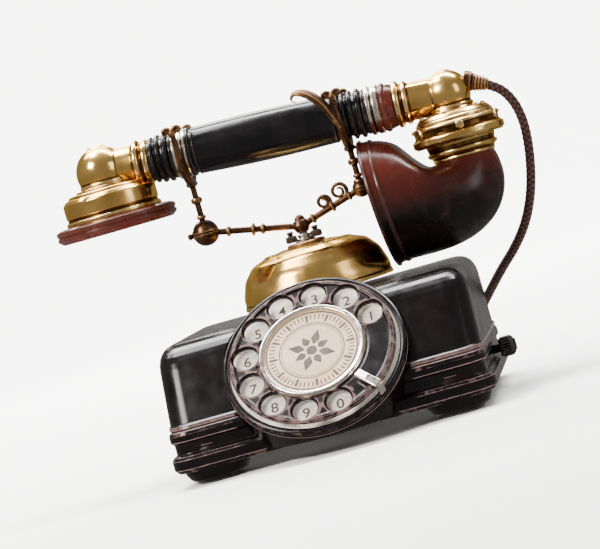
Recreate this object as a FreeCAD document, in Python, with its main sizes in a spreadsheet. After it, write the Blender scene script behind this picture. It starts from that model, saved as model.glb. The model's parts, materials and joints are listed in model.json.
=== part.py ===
"""Antique desk telephone with a dial, a gong and a cradle: a FreeCAD macro, in millimetres.

+Z is up, the dial faces -Y and the mouthpiece horn is on the +X side.
The origin is the centre of the telephone's footprint, on the surface that it stands on.
"""
import FreeCAD, Part
import math
import os
import Sketcher
from FreeCAD import Placement, Rotation, Vector

SIZES = {
    # base: the case, its plinth and feet
    "base_x": 4.6, "base_y": 8.6, "case_width": 147.5, "case_wall": 2.0, "case_foot_z": 26.0,
    "case_top_z": 64.0, "case_front_low": 68.0, "case_front_high": 48.0, "case_back": 66.0,
    "case_round": 11.0, "plinth_width": 152.5, "plinth_depth": 146.0, "plinth_low_z": 7.0,
    "plinth_mid_z": 15.0, "plinth_high_z": 21.5, "plinth_bore_width": 130.0, "plinth_bore_depth": 122.0,
    "foot_radius": 16.0, "foot_x": 57.0, "foot_y": 57.0, "foot_top_z": 20.0, "pad_thick": 1.0,
    "pad_radius": 11.0, "screw_radius": 2.0, "knob_radius": 5.0, "knob_z": 18.0,
    # dial
    "dial_lean": 48.0, "dial_y": -63.0, "dial_z": 43.6, "housing_radius": 43.0, "housing_depth": 20.0,
    "plate_radius": 40.2, "opening_radius": 34.0, "wheel_radius": 39.0, "hole_radius": 5.8,
    "hole_circle": 31.5, "first_hole": 24.0, "hole_step": 29.0, "card_radius": 23.3, "ring_radius": 25.2,
    "spindle_radius": 3.0, "gear_module": 0.9, "gear_teeth": 36.0, "pinion_teeth": 12.0,
    # gong, post and cradle
    "cradle_y": 29.6, "gong_radius": 37.0, "gong_low_z": 66.5, "gong_top_z": 90.5, "gong_wall": 1.6,
    "post_radius": 3.2, "plunger_radius": 2.0, "running_gap": 0.05, "bar_z": 99.5, "bar_radius": 2.0,
    "ball_lift": 9.5, "ball_radius": 6.5, "small_ball": 4.4, "fork_left": 45.8, "fork_right": 32.9,
    "fork_rod": 1.9, "tip_radius": 3.4,
    # handset
    "handle_x": -3.5, "handle_z": 146.7, "handle_fall": 3.36, "handle_radius": 12.2, "tube_radius": 4.9,
    "receiver_x": -82.0, "cap_low_z": 121.7, "cap_top_z": 129.2, "cap_radius": 30.0, "cup_radius": 23.5,
    "cup_top_z": 144.7, "sender_x": 89.6, "sender_z": 141.0, "flange_low_z": 118.2, "flange_top_z": 128.2,
    "flange_radius": 22.5, "drum_radius": 19.0, "drum_top_z": 132.5, "socket_radius": 17.0,
    "socket_low_z": 110.0, "horn_wall": 2.5,
    # cord
    "cord_radius": 2.4, "coil_radius": 26.5, "coil_x": 2.0, "coil_y": 138.0, "grommet_x": -50.5,
}

doc = FreeCAD.newDocument("Telephone")
sheet = doc.addObject("Spreadsheet::Sheet", "sizes")
for row, (alias, number) in enumerate(SIZES.items(), start=1):
    sheet.set(f"A{row}", alias)
    sheet.set(f"B{row}", str(number))
    sheet.setAlias(f"B{row}", alias)
doc.recompute()


class Size:
    """A length that knows both its value and its expression in the sheet's terms."""

    def __init__(self, value, text):
        self.value = value
        self.text = text

    def _join(self, other, sign, value):
        return Size(value, f"({self.text} {sign} {as_size(other).text})")

    def __add__(self, other):
        return self._join(other, "+", self.value + as_size(other).value)

    def __sub__(self, other):
        return self._join(other, "-", self.value - as_size(other).value)

    def __mul__(self, other):
        return self._join(other, "*", self.value * as_size(other).value)

    def __neg__(self):
        return Size(-self.value, f"(0 - {self.text})")


def as_size(number):
    return number if isinstance(number, Size) else Size(float(number), f"({number})")


def named(alias):
    return Size(sheet.get(alias), f"sizes.{alias}")


def values(*aliases):
    return [sheet.get(alias) for alias in aliases]


def bind(thing, **lengths):
    for name, length in lengths.items():
        setattr(thing, name, as_size(length).value)
        thing.setExpression(name, as_size(length).text)
    return thing


def put(thing, x=0, y=0, z=0, turn=None):
    """Places a piece: its position is bound to the sheet and its rotation is given."""
    spot = [as_size(c) for c in (x, y, z)]
    thing.Placement = Placement(Vector(*[c.value for c in spot]), turn or Rotation())
    for axis, c in zip("xyz", spot):
        thing.setExpression(f".Placement.Base.{axis}", c.text)
    return thing


BASE_X = named("base_x")
BASE_Y = named("base_y")
CRADLE_Y = named("cradle_y")
KNOB_Y = BASE_Y + 10
GROMMET_X = named("grommet_x")
INLET_X = BASE_X + 8
INLET_Z = 36
ALONG_X = Rotation(Vector(0, 1, 0), 90)
ALONG_Y = Rotation(Vector(1, 0, 0), -90)
LEAN = Rotation(Vector(1, 0, 0), sheet.get("dial_lean"))
HANDLE = Rotation(Vector(0, 1, 0), 90 + sheet.get("handle_fall"))
nodes = []


def node(thing, label):
    thing.Label = label
    nodes.append(thing)
    return thing


def cylinder(radius, height, **spot):
    return put(bind(doc.addObject("Part::Cylinder", "Cylinder"), Radius=radius, Height=height), **spot)


def ball(radius, **spot):
    return put(bind(doc.addObject("Part::Sphere", "Ball"), Radius=radius), **spot)


def block(length, width, height, x=0, y=0, z=0):
    """A box whose x and y give its middle and whose z gives its lowest face."""
    box = bind(doc.addObject("Part::Box", "Box"), Length=length, Width=width, Height=height)
    half_x, half_y = as_size(length) * 0.5, as_size(width) * 0.5
    return put(box, as_size(x) - half_x, as_size(y) - half_y, z)


def cut(body, *tools):
    for tool in tools:
        result = doc.addObject("Part::Cut", "Cut")
        result.Base = body
        result.Tool = tool
        body = result
    return body


def fuse(*pieces):
    result = doc.addObject("Part::MultiFuse", "Fuse")
    result.Shapes = list(pieces)
    result.Refine = True
    return result


def group(*pieces):
    result = doc.addObject("Part::Compound", "Group")
    result.Links = list(pieces)
    return result


def pin_point(sketch, line, end, horizontal, vertical):
    """Holds one end of a sketch line at a distance from both sketch axes."""
    for kind, length, axis in (("DistanceX", horizontal, -2), ("DistanceY", vertical, -1)):
        length = as_size(length)
        if abs(length.value) < 1e-9:
            sketch.addConstraint(Sketcher.Constraint("PointOnObject", line, end, axis))
            continue
        index = sketch.addConstraint(Sketcher.Constraint(kind, -1, 1, line, end, length.value))
        sketch.setExpression(f"Constraints[{index}]", length.text)


def outline(body, plane, points):
    """A closed sketch outline on one of a body's own origin planes."""
    sketch = body.newObject("Sketcher::SketchObject", "Outline")
    sketch.AttachmentSupport = [(f, "") for f in body.Origin.OriginFeatures if f.Role == plane]
    sketch.MapMode = "FlatFace"
    corners = [Vector(as_size(a).value, as_size(b).value, 0) for a, b in points]
    for start, end in zip(corners, corners[1:] + corners[:1]):
        sketch.addGeometry(Part.LineSegment(start, end))
    for line in range(len(corners)):
        following = (line + 1) % len(corners)
        sketch.addConstraint(Sketcher.Constraint("Coincident", line, 2, following, 1))
        pin_point(sketch, line, 1, *points[line])
    return sketch


def turned(points, x=0, y=0, z=0, turn=None):
    """A lathe-turned piece: the outline gives (radius, height) pairs about its own Z axis."""
    body = doc.addObject("PartDesign::Body", "Turned")
    sketch = outline(body, "XZ_Plane", points)
    spin = body.newObject("PartDesign::Revolution", "Spin")
    spin.Profile = sketch
    spin.ReferenceAxis = (sketch, ["V_Axis"])
    spin.Angle = 360
    sketch.Visibility = False
    return put(body, x, y, z, turn)


def washer(inner, outer, low, high, **spot):
    return turned([(inner, low), (outer, low), (outer, high), (inner, high)], **spot)


def dial_spot(depth=0, across=0, up=0):
    """Where a point given in the dial's own frame lies: its Z axis is the dial's outward normal."""
    offset = LEAN.multVec(Vector(across, up, depth))
    return dict(x=BASE_X + offset.x, y=BASE_Y + named("dial_y") + offset.y,
                z=named("dial_z") + offset.z, turn=LEAN)


def handle_spot(along):
    """A point on the handle's axis, which falls gently towards +X."""
    offset = HANDLE.multVec(Vector(0, 0, along))
    return dict(x=named("handle_x") + offset.x, y=CRADLE_Y, z=named("handle_z") + offset.z, turn=HANDLE)


# ---------------------------------------------------------------- case and plinth

def case_solid(inset, rounding):
    """The sloped case as a full solid, smaller by the inset, with every upper edge rounded."""
    floor = named("case_foot_z") - (0 if inset == 0 else 5)
    body = doc.addObject("PartDesign::Body", "CaseSolid")
    sketch = outline(body, "YZ_Plane", [
        (-named("case_front_low") + inset, floor),
        (-named("case_front_high") + inset, named("case_top_z") - inset),
        (named("case_back") - inset, named("case_top_z") - inset),
        (named("case_back") - inset, floor)])
    pad = body.newObject("PartDesign::Pad", "Width")
    pad.Profile = sketch
    bind(pad, Length=named("case_width") - 2 * inset)
    pad.Midplane = True
    doc.recompute()
    upper = [f"Edge{i}" for i, edge in enumerate(pad.Shape.Edges, start=1)
             if edge.BoundBox.ZMax > floor.value + 1]
    fillet = body.newObject("PartDesign::Fillet", "Rounding")
    fillet.Base = (pad, upper)
    bind(fillet, Radius=rounding)
    sketch.Visibility = False
    return put(body, BASE_X, BASE_Y, 0)


def drum_pocket():
    """The space that the dial's drum takes out of the case and the plinth."""
    depth = sheet.get("housing_depth") + 0.1
    return cylinder(named("housing_radius") + 0.1, depth + 30, **dial_spot(-depth))


def case():
    outer = case_solid(0, named("case_round"))
    inner = case_solid(sheet.get("case_wall"), named("case_round") - named("case_wall"))
    openings = [
        drum_pocket(),
        cylinder(named("opening_radius"), 44, **dial_spot(-44)),
        block(5, 11, 8, BASE_X, CRADLE_Y + 29.5, 60),
        cylinder(named("post_radius") + 0.2, 10, x=BASE_X, y=CRADLE_Y, z=named("case_top_z") - 6),
        cylinder(5.0, 10, x=GROMMET_X, y=BASE_Y + named("case_back") - 6, z=INLET_Z, turn=ALONG_Y),
        cylinder(6.0, 10, x=INLET_X, y=BASE_Y + named("case_back") - 6, z=INLET_Z, turn=ALONG_Y),
    ]
    node(cut(outer, inner, *openings), "base_case")


def slab(width, depth, low, high, rounding):
    box = block(width, depth, as_size(high) - low, BASE_X, BASE_Y, low)
    doc.recompute()
    upright = [i for i, e in enumerate(box.Shape.Edges, start=1) if e.BoundBox.ZLength > 1]
    soft = doc.addObject("Part::Fillet", "Soft")
    soft.Base = box
    soft.Edges = [(i, rounding, rounding) for i in upright]
    return soft


def foot_spots():
    for side in (-1, 1):
        for end in (-1, 1):
            yield BASE_X + named("foot_x") * side, BASE_Y + named("foot_y") * end


def plinth():
    width, depth = named("plinth_width"), named("plinth_depth")
    steps = fuse(slab(width, depth, named("plinth_low_z"), named("plinth_mid_z"), 12),
                 slab(width - 6, depth - 6, named("plinth_mid_z"), named("plinth_high_z"), 10),
                 slab(width - 3, depth - 3, named("plinth_high_z"), named("case_foot_z"), 11))
    hollow = slab(named("plinth_bore_width"), named("plinth_bore_depth"), 5, 26, 6)
    pockets = []
    for x, y in foot_spots():
        pockets.append(cylinder(named("foot_radius") + 0.2, named("foot_top_z") - 2, x=x, y=y, z=2))
        pockets.append(cylinder(named("screw_radius") + 0.2, 12, x=x, y=y, z=15))
    knob_bore = cylinder(2.1, 30, x=BASE_X + 60, y=KNOB_Y, z=named("knob_z"), turn=ALONG_X)
    node(cut(steps, hollow, drum_pocket(), *pockets, knob_bore), "plinth")


def feet():
    pad = named("pad_thick")
    rim = named("foot_radius")
    profile = [(4.4, pad), (11.0, pad), (rim - 1.8, 4.0), (rim, 8.0), (rim, 13.0), (rim - 1.5, 17.5),
               (rim - 5, named("foot_top_z")), (2.2, named("foot_top_z")), (2.2, 4.0), (4.4, 4.0)]
    node(group(*[turned(profile, x=x, y=y) for x, y in foot_spots()]), "bun_feet")
    node(group(*[washer(4.4, named("pad_radius"), 0, pad, x=x, y=y) for x, y in foot_spots()]), "foot_pads")
    screw = [(0, 1.6), (3.8, 1.6), (3.8, 4.0), (named("screw_radius"), 4.0),
             (named("screw_radius"), 23.5), (0, 23.5)]
    node(group(*[turned(screw, x=x, y=y) for x, y in foot_spots()]), "foot_screws")


def base_plate():
    plate = slab(named("plinth_bore_width") - 1, named("plinth_bore_depth") - 1, 8, 9.5, 6)
    corners = []
    for x, y in foot_spots():
        corners.append(cylinder(named("foot_radius") + 0.5, 20, x=x, y=y, z=2))
    slots = [block(30, 3, 10, BASE_X, BASE_Y + 8 * i, 4) for i in range(-2, 3)]
    node(cut(plate, *corners, *slots), "base_plate")


# ---------------------------------------------------------------- dial

def dial_housing():
    """The round drum that carries the dial, let into the sloped front of the case."""
    depth = named("housing_depth")
    drum = cylinder(named("housing_radius"), depth, **dial_spot(-depth.value))
    hollow = cylinder(named("opening_radius"), 60, **dial_spot(-50))
    recess = cylinder(named("plate_radius"), 5, **dial_spot(-2.5))
    below = block(120, 120, 48, BASE_X, BASE_Y + named("dial_y"), -40)
    node(cut(drum, hollow, recess, below), "dial_housing")


def number_plate():
    node(washer(9.0, named("plate_radius") - 0.1, -2.5, -1.3, **dial_spot()), "number_plate")


def hole_angles():
    first, step = values("first_hole", "hole_step")
    return [math.radians(first + step * k) for k in range(10)]


def finger_wheel():
    radius = named("wheel_radius")
    spindle = named("spindle_radius")
    disc = turned([(spindle, 0), (radius - 2, 0), (radius, 1.0), (radius, 2.6), (radius - 1.5, 3.4),
                   (radius - 3, 2.6), (named("ring_radius"), 2.6), (named("ring_radius"), 1.8),
                   (spindle, 1.8)], **dial_spot())
    circle = sheet.get("hole_circle")
    holes = [cylinder(named("hole_radius"), 8, **dial_spot(-3, circle * math.cos(a), circle * math.sin(a)))
             for a in hole_angles()]
    node(cut(disc, *holes), "finger_wheel")


def dial_centre():
    card = named("card_radius")
    node(washer(0, card, 1.8, 2.8, **dial_spot()), "dial_card")
    node(turned([(card, 1.8), (named("ring_radius"), 1.8), (named("ring_radius"), 3.6),
                 (card - 0.8, 4.2), (card - 0.8, 2.8), (card, 2.8)], **dial_spot()), "card_ring")


def finger_stop():
    """A bent strip that reaches over the wheel from the housing's rim."""
    angle = math.radians(-48)

    def along(radius, depth):
        return dial_spot(depth, radius * math.cos(angle), radius * math.sin(angle))

    twist = LEAN.multiply(Rotation(Vector(0, 0, 1), -48))
    pieces = []
    for inner, outer, low, high in ((28.0, 42.6, 5.0, 6.4), (41.0, 42.6, 0.0, 6.4)):
        bar = bind(doc.addObject("Part::Box", "Strip"), Length=outer - inner, Width=3.6, Height=high - low)
        start = along(inner, low)
        side = twist.multVec(Vector(0, -1.8, 0))
        pieces.append(put(bar, start["x"] + side.x, start["y"] + side.y, start["z"] + side.z, twist))
    node(fuse(*pieces), "finger_stop")


def gear_face(teeth, bore, tooth_share):
    """A spur wheel's outline with straight-sided teeth, and the circle of its bore."""
    module = sheet.get("gear_module")
    pitch = module * teeth / 2
    rings = ((pitch - 1.15 * module, 0.62), (pitch, tooth_share), (pitch + 0.85 * module, 0.20))
    points = []
    for tooth in range(teeth):
        middle = 2 * math.pi * tooth / teeth
        half = [(radius, math.pi / teeth * share) for radius, share in rings]
        flank = [(r, -a) for r, a in half] + [(r, a) for r, a in reversed(half)]
        points += [Vector(r * math.cos(middle + a), r * math.sin(middle + a), 0) for r, a in flank]
    rim = Part.Face(Part.makePolygon(points + points[:1]))
    return rim.cut(Part.Face(Part.Wire(Part.makeCircle(bore))))


def spur(teeth, bore, low, high, spot, phase=0.0):
    wheel = doc.addObject("Part::Feature", "Spur")
    face = gear_face(teeth, bore, 0.42)
    face.rotate(Vector(), Vector(0, 0, 1), phase)
    face.translate(Vector(0, 0, low))
    wheel.Shape = face.extrude(Vector(0, 0, high - low))
    wheel.Placement = Placement(Vector(*[as_size(spot[k]).value for k in "xyz"]), spot["turn"])
    return wheel


def dial_works():
    spindle = named("spindle_radius")
    bore = spindle + named("running_gap")
    teeth, small = int(sheet.get("gear_teeth")), int(sheet.get("pinion_teeth"))
    reach = sheet.get("gear_module") * (teeth + small) / 2 + 0.15
    pinion = dial_spot(0, -reach, 0)
    window = cylinder(1.5 + 0.05, 10, **dial_spot(-12, -reach, 0))
    contacts = [put(bind(doc.addObject("Part::Box", "Contact"), Length=0.8, Width=9, Height=9),
                    **dial_spot(-16.4, 22 + 2.5 * i, -4.5)) for i in range(3)]
    plate = washer(bore, 33.0, -7.5, -6.0, **dial_spot())
    foot = put(bind(doc.addObject("Part::Box", "Foot"), Length=8, Width=9, Height=2),
               **dial_spot(-9.5, 21, -4.5))
    node(fuse(cut(plate, window), foot, *contacts), "dial_mechanism_plate")
    node(turned([(0, -21), (spindle, -21), (spindle, 1.8), (0, 1.8)], **dial_spot()), "dial_shaft")
    node(spur(teeth, sheet.get("spindle_radius"), -10.5, -8.5, dial_spot()), "main_gear")
    node(cut(washer(spindle, 13.0, -13.5, -12.0, **dial_spot()),
             *[cylinder(1.0, 6, **dial_spot(-15, 13 * math.cos(a), 13 * math.sin(a)))
               for a in hole_angles()]), "impulse_cam")
    node(washer(bore, 9.0, -20.0, -15.0, **dial_spot()), "dial_spring_drum")
    axle = turned([(0, -18), (6.5, -18), (6.5, -13), (1.5, -13), (1.5, -5.5), (0, -5.5)], **pinion)
    wheel = spur(small, 1.5, -10.5, -8.5, pinion, phase=180.0 / small)
    node(fuse(axle, wheel), "governor")


# ---------------------------------------------------------------- gong, post and works inside

def gong():
    outer, wall = named("gong_radius"), named("gong_wall")
    low, top = named("gong_low_z"), named("gong_top_z")
    bore = named("post_radius") + 0.1
    node(turned([(outer, low), (outer - 0.6, low + 6), (outer - 3.2, low + 14), (outer - 8.5, low + 20),
                 (outer - 16, low + 23), (12, top), (bore, top), (bore, top - wall), (11.5, top - wall),
                 (outer - 17, low + 21.3), (outer - 9.8, low + 18.4), (outer - 4.8, low + 13),
                 (outer - 2.3, low + 5.6), (outer - 1.8, low)], x=BASE_X, y=CRADLE_Y), "gong")
    node(washer(bore, 7, named("case_top_z"), top - wall, x=BASE_X, y=CRADLE_Y), "gong_stand")
    node(turned([(bore, top), (9.5, top), (9.0, top + 1.6), (4.2, top + 2.2), (bore, top + 2.2)],
                x=BASE_X, y=CRADLE_Y), "gong_cap_plate")
    knob = [(0, 0), (2.6, 0), (2.9, 1.0), (2.9, 2.6), (1.4, 3.4), (1.8, 4.8), (0, 5.6)]
    node(group(*[turned(knob, x=BASE_X + 6.2 * side, y=CRADLE_Y - 2.2, z=top + 2.2)
                 for side in (-1, 1)]), "thumb_nuts")


def post():
    low, high = named("case_top_z") - 14, named("gong_top_z") + 5
    inner = named("plunger_radius") + named("running_gap")
    flare = named("post_radius")
    node(turned([(inner, low), (6.0, low), (6.0, low + 12), (flare, low + 12), (flare, high),
                 (inner, high)], x=BASE_X, y=CRADLE_Y), "cradle_post")


def ringer():
    y = CRADLE_Y + 28
    node(group(*[washer(2.5, 7.5, 20, 42, x=BASE_X + 12 * side, y=y) for side in (-1, 1)]), "ringer_coils")
    cores = [cylinder(2.5, 26, x=BASE_X + 12 * side, y=y, z=17) for side in (-1, 1)]
    post = block(4, 3, 28, BASE_X, y, 16)
    node(fuse(block(44, 14, 2.5, BASE_X, y, 14.5), post, *cores), "ringer_frame")
    hammer_y = y + 1.5
    pivot = cylinder(1.1, 36, x=BASE_X - 18, y=y, z=45.8, turn=ALONG_X)
    node(fuse(block(34, 5, 1.6, BASE_X, y, 45), pivot, cylinder(1.0, 24, x=BASE_X, y=hammer_y, z=46),
              ball(2.6, x=BASE_X, y=hammer_y, z=70)), "clapper")


def hook_switch():
    """The lever under the plunger, and the frame that holds its pivot and the contact springs."""
    y = CRADLE_Y
    pivot_y, pivot_z = y - 20, 43.8
    pivot = cylinder(1.5, 6, x=BASE_X - 3, y=pivot_y, z=pivot_z, turn=ALONG_X)
    node(fuse(block(6, 22, 1.6, BASE_X, y - 9, 43), pivot), "hook_lever")
    cheeks = [block(1.6, 8, 12, BASE_X + 4.4 * side, pivot_y, 36) for side in (-1, 1)]
    blades = [block(0.5, 5, 22, BASE_X + 12 + 3 * i, pivot_y, 36) for i in range(3)]
    node(fuse(block(10.4, 8, 1.6, BASE_X, pivot_y, 34.4), block(28, 8, 4, BASE_X + 8.8, pivot_y, 31),
              block(10, 8, 2, BASE_X + 15.5, pivot_y, 35), *cheeks, *blades), "hook_switch")


def electrics():
    back = BASE_Y + 30
    node(block(26, 18, 22, BASE_X - 44, back, 12), "capacitor")
    spool = fuse(washer(3, 7, 0, 30, x=BASE_X + 36, y=back - 20, z=20, turn=ALONG_Y),
                 washer(3, 9.5, 0, 2, x=BASE_X + 36, y=back - 20, z=20, turn=ALONG_Y),
                 washer(3, 9.5, 28, 30, x=BASE_X + 36, y=back - 20, z=20, turn=ALONG_Y))
    node(spool, "induction_coil")
    board = block(40, 14, 6, BASE_X - 30, BASE_Y - 8, 12)
    screws = [turned([(0, 0), (1.5, 0), (1.5, 5), (3, 5), (3, 7), (0, 7)], x=BASE_X - 43 + 9 * i,
                     y=BASE_Y - 8, z=13) for i in range(4)]
    bores = [cylinder(1.5, 8, x=BASE_X - 43 + 9 * i, y=BASE_Y - 8, z=13) for i in range(4)]
    node(cut(board, *bores), "terminal_block")
    node(group(*screws), "terminal_screws")


def rear_fittings():
    wall = BASE_Y + named("case_back")
    node(turned([(2.4, -4), (4.9, -4), (4.9, 0), (7, 0), (6, 3), (4, 8), (2.4, 8)],
                x=GROMMET_X, y=wall, z=INLET_Z, turn=ALONG_Y), "handset_cord_grommet")
    node(turned([(3.2, -4), (5.9, -4), (5.9, 0), (8, 0), (8, 4), (3.2, 4)], x=INLET_X, y=wall, z=INLET_Z,
                turn=ALONG_Y), "line_cord_inlet")


def side_knob():
    edge = BASE_X + named("plinth_width") * 0.5
    node(turned([(0, -14), (2.05, -14), (2.05, 0.4), (4.2, 0.4), (named("knob_radius"), 1.8),
                 (named("knob_radius"), 6.2), (3.6, 8.2), (0, 8.6)], x=edge, y=KNOB_Y,
                z=named("knob_z"), turn=ALONG_X), "side_knob")


# ---------------------------------------------------------------- cradle

def fork(label, reach):
    """A bent rod that cups the handle from below, with two upright prongs that end in balls."""
    rod = sheet.get("fork_rod")
    clear = sheet.get("handle_radius") + 0.4 + rod
    x, y = BASE_X + reach, CRADLE_Y
    beside = x.value - sheet.get("handle_x")
    axis_z = sheet.get("handle_z") - beside * math.tan(math.radians(sheet.get("handle_fall")))
    saddle = bind(doc.addObject("Part::Torus", "Saddle"), Radius1=clear, Radius2=rod)
    put(saddle, x, y, axis_z, ALONG_X)
    upper_half = block(20, 60, 40, x, y, axis_z)
    prongs = [cylinder(rod, 9, x=x, y=y + clear * end, z=axis_z - 0.01) for end in (-1, 1)]
    tips = [ball(named("tip_radius"), x=x, y=y + (clear + 1.9) * end, z=axis_z + 11.4) for end in (-1, 1)]
    foot_z = sheet.get("bar_z") + sheet.get("ball_lift")
    stem = cylinder(rod, axis_z - clear - foot_z, x=x, y=y, z=foot_z)
    node(fuse(cut(saddle, upper_half), *prongs, *tips, stem), label)


def cradle_arm(reach):
    """A straight rod that climbs from the cradle's hub to one of its two balls."""
    lift = sheet.get("ball_lift")
    turn = Rotation(Vector(0, 0, 1), Vector(reach, 0, lift))
    return cylinder(named("bar_radius"), math.hypot(reach, lift) - 2, x=BASE_X, y=CRADLE_Y,
                    z=named("bar_z"), turn=turn)


def cradle():
    y, z = CRADLE_Y, named("bar_z")
    ball_z = z + named("ball_lift")
    left, right = named("fork_left"), named("fork_right")
    plunger_low = named("case_top_z") - 18.5
    node(cylinder(named("plunger_radius"), z - plunger_low - 3.0, x=BASE_X, y=y, z=plunger_low), "plunger")
    arms = [cradle_arm(-left.value), cradle_arm(right.value)]
    hub = turned([(0, -3), (3.4, -3), (4.6, 0), (3.4, 3), (0, 4.6)], x=BASE_X, y=y, z=z)
    rise = sheet.get("ball_lift") / sheet.get("fork_right")
    scrolls = [put(bind(doc.addObject("Part::Torus", "Scroll"), Radius1=ring, Radius2=1.0),
                   BASE_X + spot, y, z + rise * spot + 1.5, ALONG_Y)
               for spot, ring in ((13.5, 3.6), (22.0, 4.4))]
    tail = cylinder(1.3, 3.6, x=BASE_X - left - 5.8, y=y, z=ball_z, turn=Rotation(Vector(0, 1, 0), -90))
    balls = [ball(named("ball_radius"), x=BASE_X - left, y=y, z=ball_z),
             ball(named("small_ball"), x=BASE_X + right, y=y, z=ball_z)]
    rods = [cylinder(named("fork_rod"), 14, x=BASE_X + reach, y=y, z=ball_z) for reach in (-left, right)]
    node(cut(fuse(hub, tail, *arms, *balls, *scrolls), *rods), "cross_bar")
    fork("left_fork", -left)
    fork("right_fork", right)


# ---------------------------------------------------------------- handset

def handle():
    radius, tube = named("handle_radius"), named("tube_radius")
    node(turned([(0, -53.5), (tube, -53.5), (tube, 67.5), (0, 67.5)], **handle_spot(0)), "handle_tube")
    node(washer(tube, radius, -34.5, 41.5, **handle_spot(0)), "handle")
    for label, low, high in (("left_collar", -53.5, -41.5), ("left_ferrule", -41.5, -34.5),
                             ("right_collar", 41.5, 54.5), ("right_ferrule", 54.5, 67.5)):
        node(washer(tube, radius - 0.2, low, high, **handle_spot(0)), label)


def receiver():
    x, y = named("receiver_x"), CRADLE_Y
    low, top, cup_top = named("cap_low_z"), named("cap_top_z"), named("cup_top_z")
    rim = named("cap_radius")
    node(turned([(3.0, low + 3), (12, low + 3), (20, low), (rim - 1.5, low), (rim, low + 2),
                 (rim, top - 1.5), (rim - 1.5, top), (24.5, top), (21, top - 1), (21, top - 2.5),
                 (3.0, top - 2.5)], x=x, y=y), "ear_cap")
    cup = named("cup_radius")
    node(turned([(cup - 2, top), (cup, top), (cup, cup_top - 4), (cup - 4, cup_top), (0, cup_top),
                 (0, cup_top - 2), (cup - 4.8, cup_top - 2), (cup - 2, cup_top - 4.8)], x=x, y=y),
         "receiver_cup")
    node(washer(0, 21, top - 1, top - 0.6, x=x, y=y), "receiver_diaphragm")
    coils = [washer(0, 4, top + 2, top + 7.5, x=x + 6 * side, y=y) for side in (-1, 1)]
    node(fuse(block(22, 9, 4, x, y, top + 7), *coils), "receiver_magnet")
    reach = sheet.get("handle_x") - sheet.get("receiver_x")
    centre_z = sheet.get("handle_z") + reach * math.tan(math.radians(sheet.get("handle_fall")))
    neck = cylinder(10, 24.5, **handle_spot(-78))
    solid = cut(fuse(ball(13, x=x, y=y, z=centre_z), neck), block(60, 60, 30, x, y, cup_top - 30))
    collar = turned([(0, 0), (12.5, 0), (12.5, 2), (10.5, 3), (10.5, 8), (0, 8)], x=x, y=y, z=cup_top)
    node(fuse(solid, collar), "receiver_elbow")


def sender():
    x, y = named("sender_x"), CRADLE_Y
    centre = named("sender_z")
    flange_low, flange_top, drum_top = named("flange_low_z"), named("flange_top_z"), named("drum_top_z")
    neck = cylinder(9.5, 22, **handle_spot(67.5))
    solid = cut(fuse(ball(11.5, x=x, y=y, z=centre), neck),
                block(60, 60, 30, x, y, drum_top - 30))
    node(fuse(solid, cylinder(10.5, centre - drum_top, x=x, y=y, z=drum_top)), "sender_elbow")
    node(turned([(0, flange_top), (named("drum_radius"), flange_top), (named("drum_radius"), drum_top - 1.5),
                 (named("drum_radius") - 1.5, drum_top), (0, drum_top)], x=x, y=y), "sender_drum")
    rim = named("flange_radius")
    node(turned([(18, flange_low), (rim - 1, flange_low), (rim, flange_low + 1.5), (rim, flange_low + 4.5),
                 (rim - 1.6, flange_low + 5.2), (rim - 1.6, flange_top - 1.2), (rim - 3, flange_top),
                 (0, flange_top), (0, flange_top - 1.6), (18, flange_top - 1.6)], x=x, y=y),
         "sender_flange")
    node(washer(0, 16, flange_low + 2, flange_top - 1.6, x=x, y=y), "carbon_capsule")
    node(turned([(6, named("socket_low_z")), (named("socket_radius") - 2.2, named("socket_low_z")),
                 (named("socket_radius"), flange_low - 5), (named("socket_radius"), flange_low),
                 (6, flange_low)], x=x, y=y), "horn_socket")


HORN_STATIONS = (
    # centre x from the sender's axis, centre z from the socket, lean of the section, outer radius
    (-45.3, -10.4, 3, 30.8), (-28.0, -12.0, 10, 29.0), (-8.5, -11.4, 44, 24.4), (0.0, 0.0, 90, 14.5))


def horn_loft(shrink):
    """The horn's outer or inner skin: a loft through circles that lean over as the horn turns up."""
    x, y, z = values("sender_x", "cradle_y", "socket_low_z")
    rings = []
    for index, (dx, dz, lean, radius) in enumerate(HORN_STATIONS):
        angle = math.radians(lean)
        direction = Vector(math.cos(angle), 0, math.sin(angle))
        taper = shrink * (1 + index * 0.55) if shrink else 0
        centre = Vector(x + dx, y, z + dz)
        if shrink and index == 0:
            centre -= direction * 0.5
        if shrink and index == len(HORN_STATIONS) - 1:
            centre += direction * 0.5
        rings.append(Part.Wire(Part.makeCircle(radius - taper, centre, direction)))
    return Part.makeLoft(rings, True, False)


def horn():
    feature = doc.addObject("Part::Feature", "Horn")
    feature.Shape = horn_loft(0).cut(horn_loft(sheet.get("horn_wall")))
    node(feature, "mouthpiece_horn")


# ---------------------------------------------------------------- cord

CORD_ROUTE = [  # from the sender's gland down behind the case to the coil
    (104.0, 29.6, 142.4), (113.0, 29.7, 138.4), (118.8, 30.2, 130.2), (121.0, 31.0, 119.8),
    (120.4, 32.6, 108.0), (118.0, 35.4, 95.4), (114.0, 40.0, 82.4), (107.6, 47.4, 70.2),
    (99.0, 57.4, 60.0), (89.4, 69.6, 51.4), (79.8, 82.6, 41.4), (69.0, 94.0, 29.8),
    (57.2, 102.6, 18.6), (45.6, 108.0, 9.6), (34.0, 110.8, 4.6), (22.8, 111.4, 2.9)]
TAIL_ROUTE = [  # from the coil up to the grommet at the back of the case
    (-19.0, 111.5, 2.9), (-28.6, 112.4, 4.8), (-37.4, 113.0, 10.8), (-44.4, 111.6, 19.8),
    (-48.6, 106.4, 28.8), (-50.4, 97.0, 34.8), (-50.5, 83.6, 36.0)]


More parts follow.
